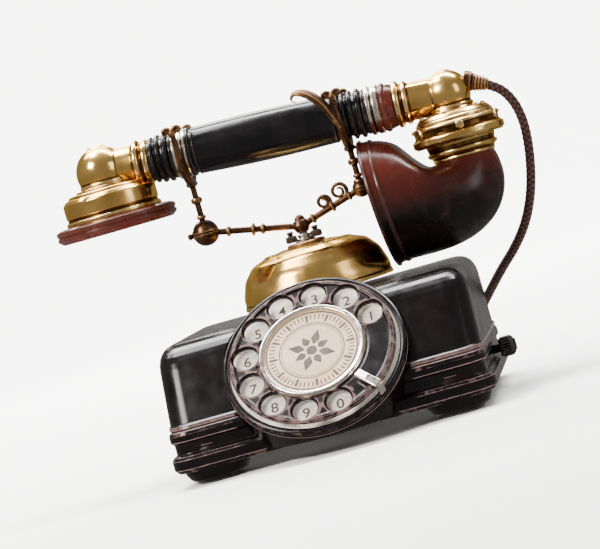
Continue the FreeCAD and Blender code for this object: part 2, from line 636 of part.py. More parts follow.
def gland_spot(along):
    """A place on the line on which the cord leaves the sender, measured from its first point."""
    start, following = Vector(*CORD_ROUTE[0]), Vector(*CORD_ROUTE[1])
    away = (following - start).normalize()
    point = start + away * along
    return dict(x=point.x, y=point.y, z=point.z, turn=Rotation(Vector(0, 0, 1), away))


def rounded_path(label, points):
    """Straight runs joined by tangent arcs, each as large as its two runs allow."""
    points = [Vector(*p) for p in points]
    edges, start, tightest = [], points[0], None
    for before, corner, after in zip(points, points[1:], points[2:]):
        into, out = (corner - before).normalize(), (after - corner).normalize()
        turn = into.getAngle(out)
        run = min((corner - before).Length, (after - corner).Length)
        trim = 0.45 * run
        radius = trim / math.tan(turn / 2)
        tightest = min(radius, tightest or radius)
        enter, leave = corner - into * trim, corner + out * trim
        inward = (out - into).normalize()
        middle = corner + inward * (radius / math.cos(turn / 2) - radius)
        edges += [Part.LineSegment(start, enter).toShape(), Part.Arc(enter, middle, leave).toShape()]
        start = leave
        print(f"{label}: turn {math.degrees(turn):.1f} degrees, radius {radius:.1f} mm, run {run:.1f} mm")
    edges.append(Part.LineSegment(start, points[-1]).toShape())
    print(f"{label}: tightest radius {tightest:.1f} mm")
    return Part.Wire(edges)


def cord_tube(label, points):
    path = rounded_path(label, points)
    radius = sheet.get("cord_radius")
    first = path.Edges[0]
    begin = first.FirstParameter
    ring = Part.makeCircle(radius, first.valueAt(begin), first.tangentAt(begin))
    tube = path.makePipeShell([Part.Wire(ring)], True, False)
    expected = math.pi * radius ** 2 * path.Length
    print(f"{label}: length {path.Length:.1f} mm, volume {tube.Volume:.1f} of {expected:.1f} mm3")
    if abs(tube.Volume / expected - 1) > 0.01:
        raise RuntimeError(f"{label} has the wrong volume")
    feature = doc.addObject("Part::Feature", "Tube")
    feature.Shape = tube
    node(feature, label)


def cords():
    cord_tube("handset_cord", CORD_ROUTE)
    cord_tube("cord_tail", TAIL_ROUTE)
    radius, size = named("coil_radius"), named("cord_radius")
    node(washer(radius - size * 2, radius + size * 2, 0, size * 4, x=named("coil_x"), y=named("coil_y")),
         "cord_coil")
    elbow = ball(11.5, x=named("sender_x"), y=CRADLE_Y, z=named("sender_z"))
    node(cut(turned([(0, -6), (5.0, -6), (5.0, -2.0), (3.8, -1.2), (3.2, 0), (0, 0)], **gland_spot(0)),
             elbow), "cord_gland")


def check(thing):
    bad = [word for word in thing.State if word in ("Invalid", "Error")]
    if bad:
        raise RuntimeError(f"{thing.Label} ({thing.Name}): {bad}")


def main():
    case()
    plinth()
    feet()
    base_plate()
    dial_housing()
    number_plate()
    finger_wheel()
    dial_centre()
    finger_stop()
    dial_works()
    gong()
    post()
    ringer()
    hook_switch()
    electrics()
    rear_fittings()
    side_knob()
    cradle()
    handle()
    receiver()
    sender()
    horn()
    cords()
    doc.recompute()
    for thing in doc.Objects:
        check(thing)
    os.makedirs("parts", exist_ok=True)
    for thing in nodes:
        if thing.Shape.isNull() or not thing.Shape.isValid():
            raise RuntimeError(f"{thing.Label} has no valid shape")
        thing.Shape.exportStep(f"parts/{thing.Label}.step")
    print(len(nodes), "sub-parts")


main()
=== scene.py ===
"""Looks of an antique desk telephone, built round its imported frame.

Shapes are worked out in millimetres and turned into metres when a mesh is made. A shape is a pair:
the places of its corners, and its faces as lists of corner numbers.
"""

import json
import math

import bmesh
import bpy
import numpy as np
from mathutils import Matrix, Vector


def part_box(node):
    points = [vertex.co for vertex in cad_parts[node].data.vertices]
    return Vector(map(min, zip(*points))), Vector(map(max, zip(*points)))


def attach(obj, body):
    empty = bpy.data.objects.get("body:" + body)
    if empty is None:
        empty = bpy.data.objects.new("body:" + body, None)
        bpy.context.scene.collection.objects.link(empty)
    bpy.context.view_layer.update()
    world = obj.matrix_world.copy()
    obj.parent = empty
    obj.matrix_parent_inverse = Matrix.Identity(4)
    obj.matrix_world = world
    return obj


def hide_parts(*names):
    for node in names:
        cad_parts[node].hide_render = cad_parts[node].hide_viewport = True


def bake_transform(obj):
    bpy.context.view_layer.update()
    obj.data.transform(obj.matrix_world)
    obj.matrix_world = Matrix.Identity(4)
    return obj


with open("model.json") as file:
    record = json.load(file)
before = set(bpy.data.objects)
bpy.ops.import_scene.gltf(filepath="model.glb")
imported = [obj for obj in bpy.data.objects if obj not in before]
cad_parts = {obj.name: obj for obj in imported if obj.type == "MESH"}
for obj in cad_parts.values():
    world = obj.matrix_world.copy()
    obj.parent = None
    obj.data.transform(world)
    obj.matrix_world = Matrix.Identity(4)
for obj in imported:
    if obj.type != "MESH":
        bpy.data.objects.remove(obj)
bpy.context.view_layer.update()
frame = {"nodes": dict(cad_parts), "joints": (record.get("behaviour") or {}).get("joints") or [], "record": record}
nodes = frame["nodes"]
MM = 0.001
X, Y, Z = Vector((1, 0, 0)), Vector((0, 1, 0)), Vector((0, 0, 1))

# the frame's own driving sizes that can't be read back from a node's box
HOLE_CIRCLE, HOLE_RADIUS, FIRST_HOLE, HOLE_STEP = 31.5, 5.8, 24.0, 29.0
STOP_ANGLE = -48.0
CASE_SET_BACK, CASE_WALL, CASE_ROUND = 20.0, 2.0, 11.0
HORN_WALL = 2.5
HORN_STATIONS = (  # centre x from the socket's axis, centre z from its foot, lean of the section, radius
    (-45.3, -10.4, 3, 30.8), (-28.0, -12.0, 10, 29.0), (-8.5, -11.4, 44, 24.4), (0.0, 0.0, 90, 14.5))
FOOT_RADIUS = 16.0
CORD_DIAMETER = 4.8
CORD_ROUTE = [  # from the gland down behind the case to the coil
    (104.0, 29.6, 142.4), (113.0, 29.7, 138.4), (118.8, 30.2, 130.2), (121.0, 31.0, 119.8),
    (120.4, 32.6, 108.0), (118.0, 35.4, 95.4), (114.0, 40.0, 82.4), (107.6, 47.4, 70.2),
    (99.0, 57.4, 60.0), (89.4, 69.6, 51.4), (79.8, 82.6, 41.4), (69.0, 94.0, 29.8),
    (57.2, 102.6, 18.6), (45.6, 108.0, 9.6), (34.0, 110.8, 4.6), (22.8, 111.4, 2.9)]
TAIL_ROUTE = [  # from the coil up to the grommet at the back of the case
    (-19.0, 111.5, 2.9), (-28.6, 112.4, 4.8), (-37.4, 113.0, 10.8), (-44.4, 111.6, 19.8),
    (-48.6, 106.4, 28.8), (-50.4, 97.0, 34.8), (-50.5, 83.6, 36.0)]


# the dial's cut through case and plinth, and the width beside it that shows no edge wear, painted edge highlight
# or hollow dirt, as radii
DIAL_CUT, UNMARKED = 43.15, 43.6
# the braid: step between rings, corners of a ring, carriers, length of one turn, how far carriers stand up
BRAID_STEP, BRAID_SIDES, BRAID_CARRIERS, BRAID_PITCH, BRAID_RELIEF = 0.55, 32, 4, 11.0, 0.45
# the view: degrees to the right of the front, above level and of roll, and what it is aimed at
VIEW_YAW, VIEW_RISE, VIEW_ROLL = 7.7, 1.71, -16.07
VIEW_TARGET = (1.36, 0.0, 77.97)
VIEW_DISTANCE = 1.2  # metres
VIEW_LENS, VIEW_SENSOR = 152.7, 36


def put(name, data):
    """A new object in the scene."""
    thing = bpy.data.objects.new(name, data)
    bpy.context.scene.collection.objects.link(thing)
    return thing


def evaluated(thing):
    """The mesh that an object comes to once its modifiers or its curve are worked out."""
    return bpy.data.meshes.new_from_object(thing.evaluated_get(bpy.context.evaluated_depsgraph_get()))


# ---------------------------------------------------------------- camera

def aim_camera():
    """A long lens almost level with the telephone, a little to the right of its front, and rolled."""
    yaw, rise, roll = math.radians(VIEW_YAW), math.radians(VIEW_RISE), math.radians(VIEW_ROLL)
    target = Vector(VIEW_TARGET) * MM
    back = Vector((math.sin(yaw) * math.cos(rise), -math.cos(yaw) * math.cos(rise), math.sin(rise)))
    data = bpy.data.cameras.new("camera")
    data.lens = VIEW_LENS
    data.sensor_width = VIEW_SENSOR
    camera = put("camera", data)
    camera.location = target + back * VIEW_DISTANCE
    camera.rotation_mode = "QUATERNION"
    level = (-back).to_track_quat("-Z", "Y")
    camera.rotation_quaternion = level @ Matrix.Rotation(roll, 4, "Z").to_quaternion()
    bpy.context.scene.camera = camera


# ---------------------------------------------------------------- materials

class Paint:
    """A material in the making, with short calls for the nodes that these materials share."""

    def __init__(self, name, **sockets):
        self.material = bpy.data.materials.new(name)
        self.material.use_nodes = True
        self.tree = self.material.node_tree
        self.shader = self.tree.nodes["Principled BSDF"]
        self.place = self.tree.nodes.new("ShaderNodeTexCoord").outputs["Object"]
        for socket, number in sockets.items():
            self.shader.inputs[socket.replace("_", " ")].default_value = number

    def node(self, kind, settings=None, **inputs):
        made = self.tree.nodes.new("ShaderNode" + kind)
        for key, value in (settings or {}).items():
            setattr(made, key, value)
        for key, value in inputs.items():
            socket = made.inputs[int(key[1:])] if key[0] == "i" and key[1:].isdigit() else made.inputs[key]
            if isinstance(value, bpy.types.NodeSocket):
                self.tree.links.new(value, socket)
            else:
                socket.default_value = value
        return made

    def link(self, source, socket):
        self.tree.links.new(source, self.shader.inputs[socket])

    def noise(self, scale, detail=4.0, stretch=None, distortion=0.0):
        place = self.place
        if stretch:
            place = self.node("Mapping", Vector=place, Scale=stretch).outputs[0]
        made = self.node("TexNoise", Vector=place, Scale=scale, Detail=detail, Distortion=distortion)
        return made.outputs["Fac"]

    def spread(self, source, low, high, to_low=0.0, to_high=1.0):
        made = self.node("MapRange", None, i0=source, i1=low, i2=high, i3=to_low, i4=to_high)
        return made.outputs[0]

    def maths(self, operation, first, second):
        return self.node("Math", {"operation": operation, "use_clamp": True}, i0=first,
            i1=second).outputs[0]

    def mix(self, share, first, second):
        return self.node("Mix", {"data_type": "RGBA"}, i0=share, i6=first, i7=second).outputs[2]

    def bend_mark(self):
        """1 on raised edges, -1 in hollows, 0 on flat faces."""
        return self.node("Attribute", {"attribute_name": "bend_mark"}).outputs["Fac"]

    def bump(self, height, strength, distance_mm):
        made = self.node("Bump", Height=height, Strength=strength, Distance=distance_mm * MM)
        self.link(made.outputs[0], "Normal")


def rgb(red, green, blue):
    return (red, green, blue, 1.0)


def aged(name, colours, rough, patch=60.0, edge_rub_and_highlight=None, grime=None, edge_colour_from=0.12, grain=(900.0, 0.15, 0.05),
        stretch=None, **sockets):
    """A solid finish: two mixed tones, raised edges in another colour (rubbed wear, and on the black paint and
    dark bronze also a painted highlight), dirt in the hollows and fine grain.
    """
    paint = Paint(name, **sockets)
    tone = paint.mix(paint.spread(paint.noise(patch, 5.0), 0.38, 0.66), rgb(*colours[0]), rgb(*colours[1]))
    scuff = paint.noise(patch * 5, 6.0, distortion=0.4)
    if grime:
        hollow = paint.maths("MULTIPLY", paint.bend_mark(), -1.0)
        tone = paint.mix(paint.spread(paint.maths("ADD", hollow, paint.spread(scuff, 0.3, 0.8, -0.15, 0.1)),
            0.02, 0.4), tone, rgb(*grime))
    # raised edges take the edge colour: rubbed wear, and on the black paint and dark bronze also a painted
    # highlight
    if edge_rub_and_highlight:
        edge_rub_and_highlight_share = paint.spread(paint.maths("ADD", paint.bend_mark(), paint.spread(scuff, 0.3, 0.75, -0.3, 0.12)),
            edge_colour_from, edge_colour_from + 0.3)
        tone = paint.mix(edge_rub_and_highlight_share, tone, rgb(*edge_rub_and_highlight))
    paint.link(tone, "Base Color")
    paint.link(paint.spread(paint.noise(patch * 2.2, 6.0), 0.3, 0.75, rough[0], rough[1]), "Roughness")
    scale, strength, height = grain
    paint.bump(paint.noise(scale, 3.0, stretch), strength, height)
    return paint.material


def horn_finish():
    """Moulded ebonite, red-brown towards the top and black towards the bottom."""
    paint = Paint("brown_ebonite_finish", Specular_IOR_Level=0.24)
    height = paint.node("SeparateXYZ", Vector=paint.place).outputs["Z"]
    drift = paint.spread(paint.noise(22.0, 5.0, distortion=0.6), 0.25, 0.8, -0.014, 0.014)
    # blends from black at the bottom to red-brown towards the top, by height
    towards_top = paint.spread(paint.node("Math", {"operation": "ADD"}, i0=height, i1=drift).outputs[0], 0.086,
        0.124)
    tone = paint.mix(towards_top, rgb(0.003, 0.002, 0.002), rgb(0.060, 0.010, 0.006))
    mottle = paint.spread(paint.noise(75.0, 7.0, distortion=1.2), 0.52, 0.72, 0.0, 0.55)
    tone = paint.mix(mottle, tone, rgb(0.018, 0.006, 0.005))
    # the lighter colour on the bead and other raised edges is a painted highlight as well as rubbed wear
    edge_rub_and_highlight = paint.spread(paint.bend_mark(), 0.12, 0.6, 0.0, 0.7)
    paint.link(paint.mix(edge_rub_and_highlight, tone, rgb(0.036, 0.016, 0.012)), "Base Color")
    paint.link(paint.spread(paint.noise(130.0, 6.0), 0.3, 0.75, 0.16, 0.34), "Roughness")
    paint.bump(paint.noise(420.0, 4.0), 0.12, 0.08)
    return paint.material


def wound_wire():
    paint = Paint("copper_coil_finish", Coat_Weight=0.4, Roughness=0.4)
    turns = paint.node("TexWave", {"bands_direction": "Z"}, Vector=paint.place, Scale=420.0, Distortion=0.3)
    tone = paint.mix(turns.outputs["Fac"], rgb(0.06, 0.016, 0.008), rgb(0.42, 0.13, 0.05))
    paint.link(tone, "Base Color")
    paint.bump(turns.outputs["Fac"], 0.7, 0.3)
    return paint.material


def enamel():
    """White vitreous enamel with a fine yellowed craze."""
    paint = Paint("enamel_white_finish", Coat_Weight=0.8, Coat_Roughness=0.08)
    craze = paint.node("TexVoronoi", {"feature": "DISTANCE_TO_EDGE"}, Vector=paint.place, Scale=210.0)
    cracks = paint.spread(craze.outputs["Distance"], 0.0, 0.035, 0.55, 0.0)
    stain = paint.spread(paint.noise(45.0, 6.0), 0.4, 0.75)
    tone = paint.mix(stain, rgb(0.80, 0.77, 0.70), rgb(0.60, 0.50, 0.38))
    paint.link(paint.mix(cracks, tone, rgb(0.28, 0.19, 0.12)), "Base Color")
    paint.link(paint.spread(paint.noise(160.0), 0.3, 0.7, 0.12, 0.3), "Roughness")
    paint.bump(paint.noise(60.0, 2.0), 0.08, 0.2)
    return paint.material


def card():
    """Aged card: foxed, a little darker in patches, with the fibre of the paper."""
    paint = Paint("card_cream_finish", Specular_IOR_Level=0.3)
    foxing = paint.spread(paint.noise(260.0, 6.0, distortion=0.8), 0.58, 0.72, 0.0, 0.6)
    tone = paint.mix(paint.spread(paint.noise(50.0, 5.0), 0.35, 0.7), rgb(0.66, 0.49, 0.33),
        rgb(0.52, 0.35, 0.21))
    paint.link(paint.mix(foxing, tone, rgb(0.30, 0.16, 0.08)), "Base Color")
    paint.link(paint.spread(paint.noise(300.0), 0.3, 0.7, 0.5, 0.75), "Roughness")
    paint.bump(paint.noise(1500.0, 5.0), 0.35, 0.06)
    return paint.material


def cotton():
    """Braided cotton: near-black and brown carriers, with the fuzz of old thread."""
    paint = Paint("braid_finish", Sheen_Weight=0.03, Sheen_Roughness=0.6, Specular_IOR_Level=0.15)
    carrier = paint.node("Attribute", {"attribute_name": "carrier"}).outputs["Fac"]
    tone = paint.mix(paint.spread(carrier, 0.3, 0.7), rgb(0.005, 0.002, 0.002), rgb(0.050, 0.017, 0.012))
    tone = paint.mix(paint.spread(paint.noise(240.0, 6.0), 0.45, 0.75, 0.0, 0.5), tone,
        rgb(0.020, 0.009, 0.007))
    paint.link(tone, "Base Color")
    paint.link(paint.spread(paint.noise(700.0), 0.3, 0.7, 0.72, 0.95), "Roughness")
    paint.bump(paint.noise(3200.0, 4.0), 0.6, 0.12)
    return paint.material


def make_materials():
    brushed = (1.0, 1.0, 14.0)
    return {
        # the black paint's pinkish edge colour is a painted highlight along the edges as well as rubbed paint
        "black_paint": aged("black_paint_finish", ((0.0022, 0.0016, 0.0018), (0.0045, 0.0028, 0.0034)),
            (0.16, 0.30), edge_rub_and_highlight=(0.11, 0.068, 0.060), grime=(0.005, 0.003, 0.003), Specular_IOR_Level=0.22,
            edge_colour_from=0.40, grain=(520.0, 0.10, 0.12)),
        "black_iron": aged("black_iron_finish", ((0.0026, 0.0018, 0.002), (0.006, 0.004, 0.004)),
            (0.2, 0.38), edge_rub_and_highlight=(0.08, 0.05, 0.042), grime=(0.008, 0.005, 0.004), edge_colour_from=0.34,
            Specular_IOR_Level=0.16, grain=(430.0, 0.35, 0.25)),
        "ebonite": aged("ebonite_finish", ((0.0024, 0.0024, 0.003), (0.005, 0.0042, 0.0048)), (0.14, 0.28),
            edge_rub_and_highlight=(0.035, 0.026, 0.023), grime=(0.005, 0.004, 0.003), Specular_IOR_Level=0.22, edge_colour_from=0.3,
            grain=(1400.0, 0.08, 0.04)),
        "brown_ebonite": horn_finish(),
        "polished_brass": aged("polished_brass_finish", ((0.88, 0.56, 0.17), (0.66, 0.37, 0.10)),
            (0.12, 0.32), edge_rub_and_highlight=(0.98, 0.74, 0.36), grime=(0.10, 0.042, 0.012), edge_colour_from=0.2, Metallic=1.0,
            Specular_Tint=rgb(1.0, 0.80, 0.42), grain=(650.0, 0.14, 0.06), patch=48.0),
        # the dark bronze's lighter edge colour is rubbed metal and also a painted highlight on raised edges
        "dark_bronze": aged("dark_bronze_finish", ((0.050, 0.022, 0.011), (0.12, 0.054, 0.024)),
            (0.26, 0.46), edge_rub_and_highlight=(0.30, 0.16, 0.07), grime=(0.012, 0.007, 0.005), Metallic=0.9,
            grain=(700.0, 0.3, 0.1), patch=110.0),
        "nickel": aged("nickel_finish", ((0.78, 0.75, 0.71), (0.55, 0.52, 0.48)), (0.12, 0.30),
            edge_rub_and_highlight=(0.88, 0.80, 0.66), grime=(0.10, 0.075, 0.055), Metallic=1.0, grain=(900.0, 0.10, 0.04),
            patch=130.0),
        "steel": aged("steel_finish", ((0.52, 0.52, 0.52), (0.34, 0.32, 0.30)), (0.26, 0.48), Metallic=1.0,
            grain=(260.0, 0.25, 0.05), stretch=brushed),
        "enamel_white": enamel(),
        "card_cream": card(),
        "felt": aged("felt_finish", ((0.035, 0.045, 0.028), (0.06, 0.065, 0.045)), (0.85, 1.0),
            grain=(2600.0, 0.9, 0.3), Sheen_Weight=0.4, patch=200.0),
        "copper_coil": wound_wire(),
        "bakelite": aged("bakelite_finish", ((0.050, 0.022, 0.013), (0.095, 0.042, 0.024)), (0.3, 0.5),
            patch=150.0, grain=(800.0, 0.2, 0.08)),
        "braid": cotton(),
        "rubber_black": aged("rubber_black_finish", ((0.008, 0.007, 0.007), (0.018, 0.015, 0.014)),
            (0.5, 0.75), edge_rub_and_highlight=(0.03, 0.026, 0.024), grain=(1200.0, 0.3, 0.08), Specular_IOR_Level=0.2),
        "ink": aged("ink_finish", ((0.040, 0.022, 0.015), (0.085, 0.048, 0.030)), (0.55, 0.8),
            grain=(1500.0, 0.3, 0.03), patch=300.0),
    }


# ---------------------------------------------------------------- shapes

class Axis:
    """A line that pieces are turned about. Its own Z runs along it; places on it are in millimetres."""

    def __init__(self, point, direction=Z, across=X):
        along = Vector(direction).normalized()
        up = along.cross(Vector(across)).normalized()
        turn = Matrix((up.cross(along), up, along)).transposed().to_4x4()
        self.matrix = Matrix.Translation(Vector(point)) @ turn
        self.inverse = self.matrix.inverted()

    def span(self, name):
        """The lowest and highest place along the axis and the largest radius of a CAD node."""
        local = [self.inverse @ (v.co / MM) for v in nodes[name].data.vertices]
        return min(p.z for p in local), max(p.z for p in local), max(p.xy.length for p in local)

    def point(self, x, y, z):
        return self.matrix @ Vector((x, y, z))

    def beside(self, x, y, z=0.0):
        """The axis through another point, in the same direction."""
        return Axis(self.point(x, y, z), self.matrix.col[2].xyz, self.matrix.col[0].xyz)

    def turned(self, degrees, about="Z"):
        """The axis after a turn about one of its own directions."""
        made = Axis(self.point(0, 0, 0))
        made.matrix = self.matrix @ Matrix.Rotation(math.radians(degrees), 4, about)
        made.inverse = made.matrix.inverted()
        return made


def centre(name):
    low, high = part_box(name)
    return (low + high) / 2 / MM


def rounded(points, rounding=0.4, closed=True):
    """An outline with rounded corners. A point is (a, b), or (a, b, its own rounding)."""
    line = []
    last = len(points) - 1
    for i, point in enumerate(points):
        here = Vector(point[:2])
        radius = point[2] if len(point) > 2 else rounding
        into = here - Vector(points[i - 1][:2])
        out = Vector(points[(i + 1) % len(points)][:2]) - here
        turn = into.angle(out) if into.length and out.length else 0.0
        if turn < 0.02 or radius == 0 or (not closed and i in (0, last)):
            line.append(here)
            continue
        trim = min(radius * math.tan(turn / 2), 0.48 * into.length, 0.48 * out.length)
        start, end = here - into.normalized() * trim, here + out.normalized() * trim
        steps = max(2, math.ceil(turn / math.radians(15)))
        for k in range(steps + 1):
            t = k / steps
            line.append(start * (1 - t) ** 2 + here * 2 * t * (1 - t) + end * t ** 2)
    return held(line, closed)


def held(line, closed, margin=0.5):
    """Adds points near both ends of each long run, so that what an edge does stays near that edge."""
    result = []
    pairs = list(zip(line, line[1:] + line[:1])) if closed else list(zip(line, line[1:]))
    for start, end in pairs:
        result.append(start)
        run = (end - start).length
        if run > 4 * margin:
            count = max(1, int(run // 6))
            shares = [margin / run] + [k / (count + 1) for k in range(1, count + 1)] + [1 - margin / run]
            result += [start.lerp(end, share) for share in sorted(shares)]
    if not closed:
        result.append(line[-1])
    return result


def lathe(axis, points, rounding=0.4, sides=96, ripple=None):
    """A turned shape from (radius, height) points: a closed ring, or solid if both ends are on the axis.

    ripple is (how many, how deep, lowest, highest): ridges in the outermost faces between two heights.
    """
    open_line = points[0][0] == 0 and points[-1][0] == 0
    line = rounded(points, rounding, closed=not open_line)
    rim = max(p.x for p in line)
    corners, rings = [], []
    for p in line:
        if p.x < 1e-6:
            rings.append([len(corners)] * sides)
            corners.append(axis.point(0, 0, p.y))
            continue
        ring = []
        for k in range(sides):
            angle = 2 * math.pi * k / sides
            radius = p.x
            if ripple and ripple[2] < p.y < ripple[3] and p.x > rim - 2 * ripple[1]:
                radius -= ripple[1] * (0.5 + 0.5 * math.cos(ripple[0] * angle)) ** 2
            ring.append(len(corners))
            corners.append(axis.point(radius * math.cos(angle), radius * math.sin(angle), p.y))
        rings.append(ring)
    if not open_line:
        rings.append(rings[0])
    return corners, bridge(rings)


def bridge(rings):
    """Faces between rings of equal length; a ring of one repeated corner makes triangles."""
    faces = []
    for lower, upper in zip(rings, rings[1:]):
        for k in range(len(lower)):
            following = (k + 1) % len(lower)
            face = [lower[k], lower[following], upper[following], upper[k]]
            face = list(dict.fromkeys(face))
            if len(face) > 2:
                faces.append(face)
    return faces


def crossings(path):
    """Each place on a path with two directions across it, which don't twist from place to place."""
    last = len(path) - 1
    normal = None
    for i, here in enumerate(path):
        along = (path[min(i + 1, last)] - path[max(i - 1, 0)]).normalized()
        if normal is None:
            normal = along.orthogonal().normalized()
        normal = (normal - along * normal.dot(along)).normalized()
        yield i, here, normal, along.cross(normal)


def pointed(corners, rings, start, end):
    """A skin over rings of corners that closes to one point at either end."""
    first, sides = len(corners), len(rings[0])
    return corners + [start, end], bridge([[first] * sides] + rings + [[first + 1] * sides])


def sweep(path, radius, sides=14, squash=1.0):
    """A round bar along a path. radius is a number, or a function of the share of the path behind."""
    last = len(path) - 1
    corners, rings = [], []
    for i, here, normal, side in crossings(path):
        width = radius(i / last) if callable(radius) else radius
        rings.append(list(range(len(corners), len(corners) + sides)))
        for k in range(sides):
            angle = 2 * math.pi * k / sides
            corners.append(here + width * (normal * math.cos(angle) + side * math.sin(angle) * squash))
    return pointed(corners, rings, path[0], path[-1])


def smooth_line(points, steps=8):
    """A smooth line through all its points."""
    points = [Vector(p) for p in points]
    ends = [points[0] * 2 - points[1]] + points + [points[-1] * 2 - points[-2]]
    line = []
    for a, b, c, d in zip(ends, ends[1:], ends[2:], ends[3:]):
        for k in range(steps):
            t = k / steps
            line.append(0.5 * (2 * b + (c - a) * t + (2 * a - 5 * b + 4 * c - d) * t ** 2
                + (3 * b - a - 3 * c + d) * t ** 3))
    return line + [points[-1]]


def slab(outline, low, high, axis, rounding=0.25):
    """A flat plate of a given outline, with its edges broken."""
    inner = [(rounding, low), (0.0, low + rounding), (0.0, high - rounding), (rounding, high)]
    middle = sum((Vector(p) for p in outline), Vector((0, 0))) / len(outline)
    corners, rings = [], []
    for inset, height in inner:
        ring = []
        for p in outline:
            away = Vector(p) - middle
            place = middle + away * max(0.0, 1 - inset / max(away.length, 1e-6))
            ring.append(len(corners))
            corners.append(axis.point(place.x, place.y, height))
        rings.append(ring)
    return corners, bridge(rings) + [rings[0][::-1], rings[-1]]


def box_ring(left, right, front, back, corner, height, steps=8, runs=12):
    """The corners of one level of a box with rounded upright edges."""
    ring = []
    quarters = ((right, front, -90), (right, back, 0), (left, back, 90), (left, front, 180))
    arcs = []
    for x, y, start in quarters:
        cx = x - corner if x == right else x + corner
        cy = y - corner if y == back else y + corner
        arcs.append([Vector((cx + corner * math.cos(math.radians(start + 90 * k / steps)),
            cy + corner * math.sin(math.radians(start + 90 * k / steps)),
            height)) for k in range(steps + 1)])
    for arc, following in zip(arcs, arcs[1:] + arcs[:1]):
        ring += arc
        ring += [arc[-1].lerp(following[0], k / runs) for k in range(1, runs)]
    return ring


def stack(left, right, back, front_at, outline, corner, closed):
    """Box-like rings at the (inset, height) points of an outline, joined into one skin."""
    corners, rings = [], []
    for inset, height in outline:
        level = box_ring(left + inset, right - inset, front_at(height) + inset, back - inset,
            max(corner - inset, 1.0), height)
        rings.append(list(range(len(corners), len(corners) + len(level))))
        corners += level
    if closed:
        return corners, bridge(rings + [rings[0]])
    return corners, bridge(rings) + [rings[0][::-1], rings[-1]]


def joined(*shapes):
    corners, faces = [], []
    for places, sides in shapes:
        start = len(corners)
        corners += places
        faces += [[start + i for i in face] for face in sides]
    return corners, faces


def mesh_of(name, shape):
    mesh = bpy.data.meshes.new(name)
    mesh.from_pydata([p * MM for p in shape[0]], [], shape[1])
    work = bmesh.new()
    work.from_mesh(mesh)
    bmesh.ops.recalc_face_normals(work, faces=work.faces)
    work.to_mesh(mesh)
    work.free()
    return mesh


def worked(shape, *modifiers):
    """A shape after Blender modifiers, each given as (kind, settings)."""
    thing = put("work", mesh_of("work", shape))
    for kind, settings in modifiers:
        modifier = thing.modifiers.new(kind, kind)
        for key, value in settings.items():
            setattr(modifier, key, value)
    result = evaluated(thing)
    shape = [v.co / MM for v in result.vertices], [list(p.vertices) for p in result.polygons]
    bpy.data.objects.remove(thing)
    return shape


def carved(shape, *cutters):
    """A shape with other shapes cut out of it."""
    for cutter in cutters:
        tool = put("tool", mesh_of("tool", cutter))
        shape = worked(shape, ("BOOLEAN", {"operation": "DIFFERENCE", "solver": "EXACT", "object": tool}))
        bpy.data.objects.remove(tool)
    return shape


def cast(grain, passes, *shapes):
    """Shapes grown into one casting, with soft fillets where they meet."""
    return worked(joined(*shapes), ("REMESH", {"mode": "VOXEL", "voxel_size": grain * MM}),
        ("SMOOTH", {"factor": 0.5, "iterations": passes}))


def mark_bends(mesh, reach):
    """Stores how sharply the surface bends at each corner: above 0 on edges, below 0 in hollows."""
    count = len(mesh.vertices)
    places, normals = np.zeros(count * 3), np.zeros(count * 3)
    ends = np.zeros(len(mesh.edges) * 2, int)
    mesh.vertices.foreach_get("co", places)
    mesh.vertex_normals.foreach_get("vector", normals)
    mesh.edges.foreach_get("vertices", ends)
    places, normals, ends = places.reshape(-1, 3) / MM, normals.reshape(-1, 3), ends.reshape(-1, 2)
    total, weight = np.zeros(count), np.full(count, 1e-9)
    for one, other in (ends.T, ends[:, ::-1].T):
        away = places[one] - places[other]
        squared = np.maximum((away ** 2).sum(1), 1e-6)
        np.add.at(total, one, 2 * (normals[one] * away).sum(1) / squared)
        np.add.at(weight, one, 1.0)
    bend = total / weight
    for _ in range(2):
        around, share = bend * 2, np.full(count, 2.0)
        for one, other in (ends.T, ends[:, ::-1].T):
            np.add.at(around, one, bend[other])
            np.add.at(share, one, 1.0)
        bend = around / share
    attribute = mesh.attributes.new("bend_mark", "FLOAT", "POINT")
    attribute.data.foreach_set("value", np.clip(bend * reach, -1, 1).astype(np.float32))


def piece(name, body, slot, *shapes, stands_for=(), reach=0.8, sharp=40.0, material=None):
    """One visible piece that rides on a body, in its slot's finish, in place of CAD nodes."""
    mesh = mesh_of(name, joined(*shapes))
    mesh.shade_smooth()
    mesh.set_sharp_from_angle(angle=math.radians(sharp))
    mark_bends(mesh, reach)
    mesh.materials.append(materials[material or slot])
    thing = put(name, mesh)
    smooth = thing.modifiers.new("even_shading", "WEIGHTED_NORMAL")
    smooth.keep_sharp = True
    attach(thing, body)
    if stands_for:
        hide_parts(*stands_for)
    return thing


def calm(thing, axis, radius):
    """Clears the bend marks, which carry edge wear, painted edge highlight and hollow dirt, along a cut that a
    cylinder about an axis has made.
    """
    for vertex, mark in zip(thing.data.vertices, thing.data.attributes["bend_mark"].data):
        if (axis.inverse @ (vertex.co / MM)).xy.length < radius:
            mark.value = 0.0


# ---------------------------------------------------------------- cord

